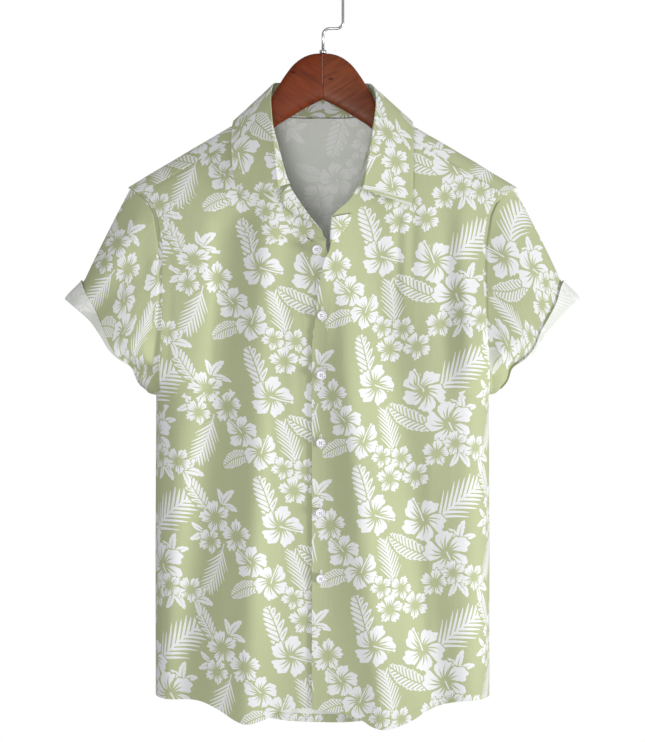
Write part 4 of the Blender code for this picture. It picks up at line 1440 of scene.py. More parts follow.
@dataclass
class Facing:
    """A front's facing that rolls outward at the open neck and lies on its front."""

    side: Side
    # x and height of the fold, x and height of the free edge
    table: Table
    lay: Lay
    rows: int = 60
    columns: int = 26
    off: float = 2.0
    swell: float = 0.9
    ripple_high: float = 0.2
    seed: float = 0.4
    roll_columns: int = 6

    def build(self, wardrobe: "Wardrobe") -> None:
        """Makes the facing: a half-round roll at its fold, then a swell to its free edge.

        Args:
            wardrobe: the finishes.
        """
        rows = spline(self.table, self.rows)
        share = np.linspace(0.0, 1.0, self.columns)[None]
        x = rows[:, 0, None] + (rows[:, 2] - rows[:, 0])[:, None] * share
        z = rows[:, 1, None] + (rows[:, 3] - rows[:, 1])[:, None] * share
        side = self.side.value
        lift = self.off + self.swell * np.sin(math.pi * share)
        lift = lift + self.ripple_high * ripple(2.0 * x, z, self.seed)
        y = -(FORM.plain_front(x, z) + side * FORM.overlap(x) + lift)
        flat = coords(x, y, z)
        beyond = unit(rows[:, :2] - rows[:, 2:])
        angle = np.linspace(0.0, math.pi, self.roll_columns)[None, :-1]
        radius = self.off / 2.0
        roll_x = rows[:, 0, None] + beyond[:, :1] * radius * np.sin(angle)
        roll_z = rows[:, 1, None] + beyond[:, 1:] * radius * np.sin(angle)
        depth = FORM.plain_front(rows[:, :1], rows[:, 1:2]) + side * FORM.overlap(rows[:, :1])
        roll = coords(roll_x, -(depth + radius * (1.0 - np.cos(angle))), roll_z)
        grid = np.concatenate((roll, flat), axis=1)
        chart = coords(grid[:, :, 0], grid[:, :, 2])
        name = "facing_" + self.side.word
        Cloth("sewn_" + name, grid, self.lay.place(chart)).make(
            wardrobe.print_face, wardrobe.wrong_side, "print_cloth", (name,))


# ---- buttons ------------------------------------------------------------------------------


@dataclass(frozen=True)
class Button:
    """A four-hole button with its thread and, where it is fastened, its buttonhole."""

    number: int
    radius: float = 5.9
    thick: float = 2.2
    rim: float = 1.3
    dish: float = 0.7
    hole_radius: float = 0.72
    hole_spread: float = 1.62
    sides: int = 56
    hole_sides: int = 16
    profile_steps: int = 4
    drill_over: float = 1.0
    thread_radius: float = 0.34
    thread_sides: int = 8
    thread_steps: int = 13
    # start, height and fullness of a thread's arch over the front
    arch: tuple[float, float, float] = (1.2, 1.75, 0.45)
    slot_half: float = 7.6
    slot_wide: float = 1.0
    slot_rise: float = 1.9
    slot_steps: int = 72
    slot_square: float = 1.9
    slot_round: float = 0.9
    slot_off: float = 0.4
    slot_thread: float = 0.62

    def _profile(self) -> Array:
        """The turned shape, from the back's middle over the rim to the front's middle.

        Returns:
            Radius and height of each point.
        """
        r, t, inner = self.radius, self.thick, self.radius - self.rim
        floor = t - self.dish
        rows = np.array(((r - 0.9, 0.0), (r - 0.25, 0.25), (r, 0.8), (r - 0.05, t - 0.7),
                         (r - 0.35, t - 0.2), (r - 0.8, t), (inner, t - 0.15),
                         (inner - 0.5, floor + 0.05), (inner - 1.3, floor), (0.4, floor)))
        last = len(rows) - 1
        return catmull(rows, np.linspace(0.0, last, self.profile_steps * last + 1))

    def build(self, wardrobe: "Wardrobe") -> None:
        """Turns the button, drills its holes and ties it on.

        Args:
            wardrobe: the finishes.
        """
        name = "button_%d" % self.number
        low, high = (np.array(corner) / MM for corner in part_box(name))
        x, z, seat_y = (low[0] + high[0]) / 2.0, (low[2] + high[2]) / 2.0, high[1]
        profile = self._profile()
        turn = full_turn(self.sides)[None]
        rings = coords(x + profile[:, :1] * np.cos(turn), seat_y - profile[:, 1:],
                       z + profile[:, :1] * np.sin(turn))
        obj = closed_sweep("turned_" + name, rings, wardrobe.button)
        angles = math.pi / 4.0 + full_turn(4)
        holes = np.array((x, z)) + self.hole_spread * np.stack((np.cos(angles), np.sin(angles)),
                                                               axis=1)
        for hole in holes:
            self._drill(obj, hole, seat_y, wardrobe)
        seat(obj, (name,))
        t = np.linspace(0.0, 1.0, self.thread_steps)
        start, high, full = self.arch
        face_y = seat_y - self.thick + self.dish
        arch = face_y + start - high * np.sin(math.pi * t) ** full
        bars = []
        for first, second in ((0, 3), (1, 2)):
            flat = holes[first] + (holes[second] - holes[first]) * t[:, None]
            bars.append(tube_rings(coords(flat[:, 0], arch, flat[:, 1]), self.thread_radius,
                                   self.thread_sides, (1.0, 0.0, 0.0)))
        tie = join_sweeps("tie_%d" % self.number, bars, wardrobe.button_thread)
        seat(tie)
        if self.number > 1:
            self._buttonhole(x, z, wardrobe)

    def _drill(self, obj: bpy.types.Object, hole: Array, seat_y: float,
               wardrobe: "Wardrobe") -> None:
        """Cuts one hole through the button with a round drill.

        Args:
            obj: the button.
            hole: x and height of the hole's middle.
            seat_y: depth of the button's back.
            wardrobe: the finishes.
        """
        turn = full_turn(self.hole_sides)[None]
        depth = np.array((seat_y + self.drill_over, seat_y - self.thick - self.drill_over))
        rings = coords(hole[0] + self.hole_radius * np.cos(turn), depth[:, None],
                       hole[1] + self.hole_radius * np.sin(turn))
        drill = closed_sweep("drill", rings, wardrobe.button)
        cut = obj.modifiers.new("hole", "BOOLEAN")
        cut.operation, cut.solver, cut.object = "DIFFERENCE", "EXACT", drill
        settle_modifiers(obj)
        bpy.data.objects.remove(drill, do_unlink=True)

    def _buttonhole(self, x: float, z: float, wardrobe: "Wardrobe") -> None:
        """Satin-stitched slot: a closed loop of two long sides and two round ends.

        Args:
            x: of the button's middle.
            z: height of the button's middle.
            wardrobe: the finishes.
        """
        turn = full_turn(self.slot_steps)
        c, s = np.cos(turn), np.sin(turn)
        side = np.sign(s) * self.slot_half * np.minimum(1.0, np.abs(s) * self.slot_square)
        x = x + self.slot_wide * c
        z = z + self.slot_rise + side + self.slot_round * s
        y = -(FORM.front(x, z) + FORM.overlap(x) + self.slot_off)
        rings = tube_rings(coords(x, y, z), self.slot_thread, self.thread_sides, (0.0, 1.0, 0.0),
                           loop=True)
        name = "buttonhole_%d" % self.number
        seat(closed_sweep(name, rings, wardrobe.button_thread, loop=True))


def settle_modifiers(obj: bpy.types.Object) -> None:
    """Writes an object's modifiers into its mesh.

    Args:
        obj: whose modifiers are used up.
    """
    graph = bpy.context.evaluated_depsgraph_get()
    mesh = bpy.data.meshes.new_from_object(obj.evaluated_get(graph))
    obj.modifiers.clear()
    old, obj.data = obj.data, mesh
    bpy.data.meshes.remove(old)


def join_sweeps(name: str, sweeps: Sequence[Array],
                material: bpy.types.Material) -> bpy.types.Object:
    """One piece from several capped sweeps.

    Args:
        name: the piece's name.
        sweeps: the rings of each, as closed_sweep takes them.
        material: its finish.

    Returns:
        The linked object.
    """
    parts = [closed_sweep(name, rings, material) for rings in sweeps]
    points, faces = [], []
    for part in parts:
        start = len(points)
        points += [tuple(v.co / MM) for v in part.data.vertices]
        faces += [[start + i for i in p.vertices] for p in part.data.polygons]
        bpy.data.objects.remove(part, do_unlink=True)
    return new_object(name, np.array(points), faces, [material])


# ---- hanger -------------------------------------------------------------------------------


@dataclass(frozen=True)
class Hanger:
    """The wooden hanger: two mitred halves, a ferrule and a wire hook."""

    # x, height of the upper edge, height of the lower edge, half thickness, squareness
    table: Table = (
        (0.03, -93.8, -150.4, 7, 0.6), (12, -94.8, -156, 7, 0.6), (24, -99.2, -162.6, 7, 0.6),
        (35.5, -108, -169.5, 7, 0.6), (45, -120, -175.3, 7, 0.6), (54, -134, -181, 7, 0.6),
        (61, -145.5, -187, 7, 0.6), (65, -156.5, -190.5, 7, 0.65), (70, -167.8, -193.5, 7, 0.75),
        (77, -170.9, -197, 7, 0.85), (95, -177.8, -203, 7.3, 1), (110, -185.1, -209, 7.3, 1),
        (130, -196.4, -220, 7.3, 1), (150, -208.1, -232, 7.3, 1), (170, -219.9, -243.5, 7, 1),
        (190, -231.7, -255, 6.8, 1), (205, -241.1, -263, 6.3, 1), (213, -248.9, -266, 5, 1),
        (217, -255.5, -263, 3, 1))
    stations: int = 110
    section: int = 48
    wire_sides: int = 20
    bend_steps: int = 12
    arc_steps: int = 70
    shaft_x: float = 0.6
    shaft_z: float = -90.0
    # radius and height of its profile
    ferrule: Table = (
        (2.2, -93.6), (4.1, -93.5), (4.3, -93.1), (4.3, -90.4), (4.1, -90), (3.6, -89.8),
        (1.8, -89.6))
    wire: float = 1.7
    hook_radius: float = 25.0
    bend_z: float = -63.5
    bend_radius: float = 8.0
    end_angle: float = 186.0

    def half(self, side: Side) -> Array:
        """Rings of one arm: a rounded box section at each station of its smooth outline.

        A section is an ellipse whose cosine and sine are raised to its power.

        Args:
            side: whose arm.

        Returns:
            rings x points of a ring x 3.
        """
        at = np.linspace(0.0, len(self.table) - 1.0, self.stations)
        x, top, low, thick, power = catmull(np.asarray(self.table), at).T[:, :, None]
        turn = full_turn(self.section)[None]
        c, s = np.cos(turn), np.sin(turn)
        y = thick * np.sign(c) * np.abs(c) ** power
        z = (top + low) / 2.0 + (top - low) / 2.0 * np.sign(s) * np.abs(s) ** power
        return coords(side.value * x, y, z)

    def hook_path(self) -> Array:
        """Centre line of the hook: a shaft, two bends and an open arc about its crown.

        Returns:
            points x 3.
        """
        bend, low = self.bend_radius, self.bend_z - self.bend_radius
        turn = np.linspace(0.0, math.pi / 2.0, self.bend_steps)
        arc = np.radians(np.linspace(0.0, self.end_angle, self.arc_steps))
        centre = -(self.hook_radius - self.wire)
        x = np.concatenate(([self.shaft_x, self.shaft_x],
                            self.shaft_x + bend * (1.0 - np.cos(turn[1:])),
                            self.hook_radius - bend + bend * np.sin(turn),
                            self.hook_radius * np.cos(arc)))
        z = np.concatenate(([self.shaft_z, low], low + bend * np.sin(turn[1:]),
                            self.bend_z + bend * (1.0 - np.cos(turn)),
                            centre + self.hook_radius * np.sin(arc)))
        return coords(x, 0.0 * x, z)

    def build(self, wardrobe: "Wardrobe") -> None:
        """Makes the two arms, the ferrule and the hook.

        Args:
            wardrobe: the finishes.
        """
        # The wearer's right arm takes the wood copy painted as lit and the left arm the copy
        # painted in shade.
        for side, finish, slot in ((Side.LEFT, wardrobe.wood_dark, "wood_dark"),
                                   (Side.RIGHT, wardrobe.wood_light, "wood_light")):
            name = "hanger_" + side.word
            seat(closed_sweep("carved_" + name, self.half(side), finish), (name,))
        turn = full_turn(self.section)[None]
        profile = np.asarray(self.ferrule)
        rings = coords(self.shaft_x + profile[:, :1] * np.cos(turn), profile[:, :1] * np.sin(turn),
                       profile[:, 1:])
        seat(closed_sweep("turned_ferrule", rings, wardrobe.steel), ("ferrule",))
        rings = tube_rings(self.hook_path(), self.wire, self.wire_sides, (0.0, 1.0, 0.0))
        seat(closed_sweep("bent_hook", rings, wardrobe.steel), ("hook",))


# ---- finishes -----------------------------------------------------------------------------


class Signal:
    """A number on its way through a node tree; arithmetic on it adds Math nodes."""

    def __init__(self, tree: bpy.types.NodeTree, socket: bpy.types.NodeSocket) -> None:
        """Wraps an output socket of the tree."""
        self.tree, self.socket = tree, socket

    def _math(self, operation: str, *others: "Signal | float") -> "Signal":
        """Adds one Math node that takes this number first.

        Args:
            operation: the node's operation.
            others: its other inputs, in order.

        Returns:
            What the node gives.
        """
        inputs = dict(enumerate((self,) + others))
        node = Nodes(self.tree).add("Math", inputs, operation=operation)
        return Signal(self.tree, node.outputs[0])

    def __rsub__(self, other: float) -> "Signal":
        """A plain number less this one."""
        return self.times_plus(-1.0, other)

    __add__ = partialmethod(_math, "ADD")
    __sub__ = partialmethod(_math, "SUBTRACT")
    __mul__ = partialmethod(_math, "MULTIPLY")
    __truediv__ = partialmethod(_math, "DIVIDE")
    times_plus = partialmethod(_math, "MULTIPLY_ADD")  # times a factor, plus a term
    size = partialmethod(_math, "ABSOLUTE")
    sin = partialmethod(_math, "SINE")
    part = partialmethod(_math, "FRACT")  # what is left above the whole number below
    power = partialmethod(_math, "POWER")
    below = partialmethod(_math, "LESS_THAN")  # 1 where this number is less than the other
    above = partialmethod(_math, "GREATER_THAN")
    least = partialmethod(_math, "MINIMUM")
    most = partialmethod(_math, "MAXIMUM")
    angle = partialmethod(_math, "ARCTAN2")  # of a point this high whose reach is the other


class Nodes:
    """A node tree with short ways to add, set and link its nodes."""

    def __init__(self, tree: bpy.types.NodeTree) -> None:
        """Works on the given tree."""
        self.tree = tree

    def add(self, kind: str, inputs: Optional[dict] = None, **settings: object) -> bpy.types.Node:
        """Adds a node.

        Args:
            kind: its type without the ShaderNode prefix.
            inputs: socket name or number to a value, a socket or a Signal.
            settings: its own properties.

        Returns:
            The node.
        """
        node = self.tree.nodes.new("ShaderNode" + kind)
        for key, value in settings.items():
            setattr(node, key, value)
        self.feed(node, inputs or {})
        return node

    def feed(self, node: bpy.types.Node, inputs: dict) -> None:
        """Sets or links the inputs of a node.

        Args:
            node: the node.
            inputs: socket name or number to a value, a socket or a Signal.
        """
        for key, value in inputs.items():
            source = value.socket if isinstance(value, Signal) else value
            if isinstance(source, bpy.types.NodeSocket):
                self.tree.links.new(source, node.inputs[key])
            else:
                node.inputs[key].default_value = source

    def signal(self, socket: bpy.types.NodeSocket) -> Signal:
        """Wraps a socket for arithmetic."""
        return Signal(self.tree, socket)

    def noise(self, place: bpy.types.NodeSocket, scale: float, detail: float = 2.0,
              distortion: float = 0.0) -> Signal:
        """Noise texture.

        Args:
            place: where it is read.
            scale: waves in a unit of the place.
            detail: how many finer layers it has.
            distortion: how far it is bent.

        Returns:
            Its value, about 0 to 1.
        """
        node = self.add("TexNoise", {"Vector": place, "Scale": scale, "Detail": detail,
                                     "Distortion": distortion})
        return self.signal(node.outputs["Fac"])

    def stretch(self, place: bpy.types.NodeSocket, scale: Sequence[float],
                turn: float = 0.0) -> bpy.types.NodeSocket:
        """Scales, and turns about Y, the place that a pattern is read at.

        Args:
            place: the place.
            scale: along each axis.
            turn: angle about Y.

        Returns:
            The new place.
        """
        node = self.add("Mapping", {"Vector": place, "Scale": tuple(scale),
                                    "Rotation": (0.0, turn, 0.0)})
        return node.outputs["Vector"]

    def mix(self, share: Signal, first: Sequence[float], second: object) -> bpy.types.NodeSocket:
        """Blend of two colours.

        Args:
            share: of the second colour.
            first: a colour.
            second: a colour, or a socket.

        Returns:
            The blend.
        """
        node = self.add("Mix", {0: share, 6: first, 7: second}, data_type="RGBA")
        return node.outputs[2]

    def bump(self, strength: float, distance: float, height: Signal) -> bpy.types.NodeSocket:
        """Normals bent by a height.

        Args:
            strength: how much of the bend shows.
            distance: what a height of 1 stands for, in metres.
            height: the height.

        Returns:
            The normals.
        """
        node = self.add("Bump", {"Strength": strength, "Distance": distance, "Height": height})
        return node.outputs[0]


def group(name: str, inputs: dict[str, str], outputs: Sequence[str]) -> tuple[Nodes, dict, dict]:
    """A new shader node group.

    Args:
        name: the group's name.
        inputs: socket name to its type's last word.
        outputs: names of the numbers that it puts out.

    Returns:
        Its nodes, its input sockets by name and its output sockets by name.
    """
    tree = bpy.data.node_groups.new(name, "ShaderNodeTree")
    for key, kind in inputs.items():
        tree.interface.new_socket(key, in_out="INPUT", socket_type="NodeSocket" + kind)
    for key in outputs:
        tree.interface.new_socket(key, in_out="OUTPUT", socket_type="NodeSocketFloat")
    entry, leave = tree.nodes.new("NodeGroupInput"), tree.nodes.new("NodeGroupOutput")
    return Nodes(tree), {s.name: s for s in entry.outputs}, {s.name: s for s in leave.inputs}


@dataclass(frozen=True)
class Spot:
    """One motif of the repeat: where it stands in millimetres, its turn, size and hand."""

    x: float
    y: float
    turn: float
    size: float
    hand: float = 1.0


def spots(rows: Table) -> tuple[Spot, ...]:
    """Motifs from rows of x, y, turn, size and hand."""
    return tuple(Spot(*row) for row in rows)


@dataclass(frozen=True)
class FloralPrint:
    """The all-over print: six kinds of motif on a repeat, each drawn by its own formula.

    A motif's formula works in its own space, x along it and y across it at size one, and gives a
    mask and a halo: the halo clears a thin gap round it in whatever lies below.
    """

    repeat: tuple[float, float] = (250.0, 154.7)
    petals: float = 5.0
    hibiscus: tuple[Spot, ...] = spots((
        (74.2, -76.1, -12, 24.4), (137.4, -83.9, 118, 26.4), (166.7, -123, -58, 27.8),
        (34, -118.1, 140, 20), (57.4, -142.5, 62, 21, -1)))
    blossom: tuple[Spot, ...] = spots((
        (82.8, -162, 10, 13.7), (109.1, -164, 40, 14.2), (93.5, -188.4, -10, 17.1),
        (127.7, -185.4, 20, 16.6), (152.1, -159.1, 55, 16.1), (174.5, -147.4, 5, 14.6),
        (200.1, -153.2, 25, 15.6), (17.6, -87.8, 60, 19), (-10.7, -66.4, 0, 19.5),
        (-19.5, -94.7, 30, 15.1)))
    palm: tuple[Spot, ...] = spots((
        (156.2, -83, 37, 74.2, 1), (98.4, -158.1, 104, 56.6, -0.85),
        (-3.9, -105.4, -118, 56.6, 0.9)))
    fern: tuple[Spot, ...] = spots(((65.4, -68.3, 106.0, 53.7), (-20.5, -55.6, 119.0, 42.9, -1.0)))
    ribbed: tuple[Spot, ...] = spots(((150.1, -127.9, 154, 64.4), (43.9, -145.4, 200, 41, -1.3)))
    sprig: tuple[Spot, ...] = spots((
        (181.5, -109.3, 70, 26.4), (177.6, -156.2, -62, 25.4), (-1, -51.7, 38, 27.3),
        (-26.4, -82, 200, 22.4), (204, -164, -22, 27.3)))
    # turn, length, width and bow of the three leaves of a sprig
    sprig_leaves: Table = (
        (0.12, 1, 0.58, 0.3), (1.12, 0.8, 0.56, -0.35), (-0.95, 0.85, 0.58, 0.35))

    def _nearest(self, nodes: Nodes, place: bpy.types.NodeSocket, motifs: Sequence[Spot],
                 middle: float) -> tuple[Signal, Signal]:
        """Place within the nearest motif of a kind.

        Each motif's place is the repeat wrapped about it, turned and divided by its size; the one
        whose middle is closest wins.

        Args:
            nodes: the tree.
            place: millimetres on the print.
            motifs: the kind's motifs.
            middle: how far along a motif its middle is.

        Returns:
            x and y in the motif's own space.
        """
        best, closest = None, None
        wide, tall = self.repeat
        for spot in motifs:
            angle = math.radians(spot.turn)
            x = spot.x + math.cos(angle) * spot.size * middle
            y = spot.y + math.sin(angle) * spot.size * middle
            wrapped = nodes.add("VectorMath", {0: place, 1: (x + wide / 2.0, y + tall / 2.0, 1.0),
                                               2: (x - wide / 2.0, y - tall / 2.0, -1.0)},
                                operation="WRAP").outputs[0]
            own = nodes.add("Mapping", {"Vector": wrapped, "Location": (x, y, 0.0),
                                        "Rotation": (0.0, 0.0, angle),
                                        "Scale": (spot.size, spot.size * spot.hand, 1.0)},
                            vector_type="TEXTURE").outputs[0]
            length = nodes.add("VectorMath", {0: own}, operation="LENGTH").outputs["Value"]
            reach = nodes.signal(length)
            if best is None:
                best, closest = own, reach
                continue
            nearer = reach.below(closest)
            best = nodes.add("Mix", {0: nearer, 4: best, 5: own}, data_type="VECTOR").outputs[1]
            closest = reach.least(closest)
        split = nodes.add("SeparateXYZ", {0: best})
        return nodes.signal(split.outputs[0]) + middle, nodes.signal(split.outputs[1])

    def _hibiscus(self, x: Signal, y: Signal) -> tuple[Signal, Signal]:
        """Five broad ruffled petals, parted and slit from the heart, and a long stamen.

        Args:
            x: place along the motif.
            y: place across it.

        Returns:
            Its mask and its halo.
        """
        r = (x * x + y * y).power(0.5)
        turn = (y.angle(x) + r * 0.42) * (self.petals / (2.0 * math.pi))
        c = turn.part() - 0.5
        n = turn - c
        side = c.size()
        ruffle = (c * 25.0 + n * 2.0).sin() * 0.035 + (c * 11.0 + n * 5.0).sin() * 0.05
        edge = (1.0 - side * side * 3.85).power(0.5).times_plus(0.52, ruffle) + 0.5
        edge = edge + (n * 4.1).sin() * 0.06
        gap = ((0.5 - side) * r * 1.2566).above((r - 0.4).most(0.0) * 0.1 + 0.035)
        vein = ((c * 3.7 + (r * 3.2 + n * 1.7).sin() * 0.14).part() - 0.5).size() * r * 0.34
        reach = (side * -0.7 + 0.82) + (n * 3.7 + c * 5.0).sin() * 0.1
        slit = vein.above((reach - r).most(0.0).least(0.32) * 0.12)
        mask = r.below(edge) * gap * slit * r.above(0.13)
        sway = y + (x * 2.2).sin() * 0.05
        rod = sway.size().below(0.034) * x.above(-0.05) * x.below(1.1)
        tip = ((x - 1.06) * (x - 1.06) + sway * sway).below(0.0052)
        clear = sway.size().below(0.092) * x.above(0.1) * x.below(1.14)
        return (mask * (1.0 - clear)).most(rod).most(tip), r.below(edge + 0.07).most(clear)

    def _blossom(self, x: Signal, y: Signal) -> tuple[Signal, Signal]:
        """Five round petals with fringed ends and long slits round an open heart.

        Args:
            x: place along the motif.
            y: place across it.

        Returns:
            Its mask and its halo.
        """
        r = (x * x + y * y).power(0.5)
        turn = (y.angle(x) + r * 0.14) * (self.petals / (2.0 * math.pi))
        c = turn.part() - 0.5
        n = turn - c
        side = c.size()
        edge = (1.0 - side * side * 3.9).power(0.55).times_plus(0.5, 0.48) + (n * 5.3).sin() * 0.07
        edge = edge + (c * 27.0 + n * 2.3).sin() * 0.06 + (c * 13.0 + n * 3.1).sin() * 0.05
        gap = ((0.5 - side) * r * 1.2566).above((r - 0.4).most(0.0) * 0.12 + 0.045)
        vein = ((c * 4.3 + n * 0.31).part() - 0.5).size() * r * 0.292
        reach = (side * -0.6 + 0.86) + (n * 2.9 + c * 9.0).sin() * 0.12
        slit = vein.above((reach - r).most(0.0).least(0.3) * 0.14)
        return r.below(edge) * gap * slit * r.above(0.16), r.below(edge + 0.09)

    def _palm(self, x: Signal, y: Signal) -> tuple[Signal, Signal]:
        """A bowed rib with long leaflets of uneven length that lean forward and taper.

        Args:
            x: place along the motif.
            y: place across it.

        Returns:
            Its mask and its halo.
        """
        bow = y - x * (1.0 - x) * 0.16
        a = bow.size()
        s = (x - a * 1.3 + a * a * 0.5) * 9.5 + bow.above(0.0) * 0.5
        d = s.part() - 0.5
        n = s - d
        wide = ((x + 0.02) * (1.12 - x)).most(0.0).power(0.6) * 0.6
        share = a / (wide * ((n * 2.7).sin() * 0.12 + 0.94)).most(0.001)
        leaf = d.size().below((1.0 - share * share) * 0.3 + 0.05) * share.below(1.0)
        leaf = leaf * s.above(-0.4) * s.below(9.2)
        rib = a.below(0.014) * x.below(0.97)
        mask = leaf.most(rib) * x.above(-0.16)
        return mask, mask

    def _fern(self, x: Signal, y: Signal) -> tuple[Signal, Signal]:
        """A feather of leaf: pointed leaflets on one side, fat slit lobes on the other.

        Args:
            x: place along the motif.
            y: place across it.

        Returns:
            Its mask and its halo.
        """
        bow = y + x * (1.0 - x) * 0.12
        a, lobed = bow.size(), bow.below(0.0)
        s = (x - a * 0.9) * (lobed * -2.2 + 7.4) + lobed * 0.35
        c = s.part() - 0.5
        wide = ((x + 0.03) * (1.05 - x)).most(0.0).power(0.5) * 0.46
        ends = wide * (1.0 - c * c * (lobed * 1.2 + 2.2))
        lobe = a.below(ends) * c.size().below(lobed * 0.06 + 0.39) * s.above(-0.1)
        cut = (c.size() - 0.03).size().above(0.05)
        cut = cut.most(a.above(ends * 0.74)).most(a.below(ends * 0.3))
        inside = x.above(0.0) * x.below(1.02)
        mask = lobe * cut.most(1.0 - lobed) * a.above(0.014) * inside
        return mask, a.below(wide + 0.03) * inside

    def _ribbed(self, x: Signal, y: Signal) -> tuple[Signal, Signal]:
        """A long leaf with a bold uneven edge and curved bars between its ribs.

        Args:
            x: place along the motif.
            y: place across it.

        Returns:
            Its mask and its halo.
        """
        bow = y - x * (1.0 - x) * 0.25
        a = bow.size()
        wide = (x * (1.0 - x)).most(0.0).power(0.55) * 0.4
        s = (x - a * 1.1 + a * a * 2.0) * 12.0 + bow.above(0.0) * 0.5
        d = (s.part() - 0.5).size()
        edge = wide - d * 0.05 + (s * 1.9).sin() * 0.008
        inside = x.above(0.01) * x.below(0.99)
        mask = a.below(edge) * d.above(0.2).most((edge - a).below(0.024)) * a.above(0.012)
        return mask * inside, a.below(wide + 0.035) * inside

    def _sprig(self, x: Signal, y: Signal) -> tuple[Signal, Signal]:
        """Three bowed pointed leaves from one foot.

        Args:
            x: place along the motif.
            y: place across it.

        Returns:
            Its mask and its halo.
        """
        mask, halo = None, None
        for turn, length, width, bow in self.sprig_leaves:
            c, s = math.cos(turn) / length, math.sin(turn) / length
            u = x * c + y * s
            v = y * c - x * s
            v = v - u * (1.0 - u) * bow
            half = (u * (1.0 - u)).most(0.0).power(0.9)
            half = half.times_plus(width, (u * 31.0).sin() * u * 0.018)
            inside = u.above(0.05) * u.below(1.0)
            leaf = v.size().below(half) * v.size().above((0.8 - u).most(0.0) * 0.045) * inside
            near = v.size().below(half + 0.05) * inside
            mask, halo = (leaf, near) if mask is None else (mask.most(leaf), halo.most(near))
        return mask, halo

    def build(self) -> bpy.types.NodeTree:
        """Lays the kinds of motif over each other, each clearing its halo in what lies below.

        Returns:
            A group from the place on the cloth, in metres, to a mask that is 1 on the motifs.
        """
        nodes, entry, leave = group("floral print", {"Cloth": "Vector"}, ("Motif",))
        scaled = nodes.add("VectorMath", {0: entry["Cloth"], "Scale": 1.0 / MM}, operation="SCALE")
        place = scaled.outputs[0]
        layers = ((self._palm, self.palm, 0.5), (self._fern, self.fern, 0.5),
                  (self._ribbed, self.ribbed, 0.5), (self._sprig, self.sprig, 0.3),
                  (self._hibiscus, self.hibiscus, 0.0), (self._blossom, self.blossom, 0.0))
        total = None
        for draw, motifs, middle in layers:
            mask, halo = draw(*self._nearest(nodes, place, motifs, middle))
            total = mask if total is None else (total * (1.0 - halo)).most(mask)
        nodes.tree.links.new(total.socket, leave["Motif"])
        return nodes.tree


def weave_group() -> bpy.types.NodeTree:
    """Plain weave: crossed sines for the threads, stretched noise for the uneven yarn.

    Returns:
        A group from the place on the cloth to the weave's height and the yarn's thickness.
    """
    nodes, entry, leave = group("plain weave", {"Cloth": "Vector", "Threads": "Float"},
                                ("Height", "Slub"))
    scaled = nodes.add("VectorMath", {0: entry["Cloth"], "Scale": entry["Threads"]},
                       operation="SCALE")
    split = nodes.add("SeparateXYZ", {0: scaled.outputs[0]})
    u, v = nodes.signal(split.outputs[0]), nodes.signal(split.outputs[1])
    over = (u * math.pi).sin() * (v * math.pi).sin()
    warp = nodes.noise(nodes.stretch(entry["Cloth"], (900.0, 14.0, 1.0)), 1.0, 1.0)
    weft = nodes.noise(nodes.stretch(entry["Cloth"], (14.0, 900.0, 1.0)), 1.0, 1.0)
    slub = (warp + weft) * 0.5
    nodes.tree.links.new((over * 0.5 + slub).socket, leave["Height"])
    nodes.tree.links.new(slub.socket, leave["Slub"])
    return nodes.tree


def grain_group() -> bpy.types.NodeTree:
    """Wood grain along x: long uneven streaks and short dark pores.

    Returns:
        A group from the place on the wood to its streaks and pores.
    """
    nodes, entry, leave = group("wood grain", {"Place": "Vector"}, ("Streak", "Pore"))
    broad = nodes.noise(nodes.stretch(entry["Place"], (14.0, 120.0, 160.0)), 1.0, 3.0, 1.2)
    fine = nodes.noise(nodes.stretch(entry["Place"], (40.0, 700.0, 900.0)), 1.0, 2.0, 0.4)
    pore = nodes.noise(nodes.stretch(entry["Place"], (260.0, 1500.0, 2400.0)), 1.0, 1.0)
    nodes.tree.links.new((broad * 0.65 + fine * 0.35).socket, leave["Streak"])
    nodes.tree.links.new(((pore - 0.62) * 6.0).most(0.0).least(1.0).socket, leave["Pore"])
    return nodes.tree


Colour = tuple[float, float, float, float]


def surface(name: str) -> tuple[bpy.types.Material, Nodes, bpy.types.Node]:
    """A new material.

    Args:
        name: the material's name.

    Returns:
        The material, its nodes and its Principled shader.
    """
    material = bpy.data.materials.new(name)
    material.use_nodes = True
    nodes = Nodes(material.node_tree)
    return material, nodes, material.node_tree.nodes["Principled BSDF"]


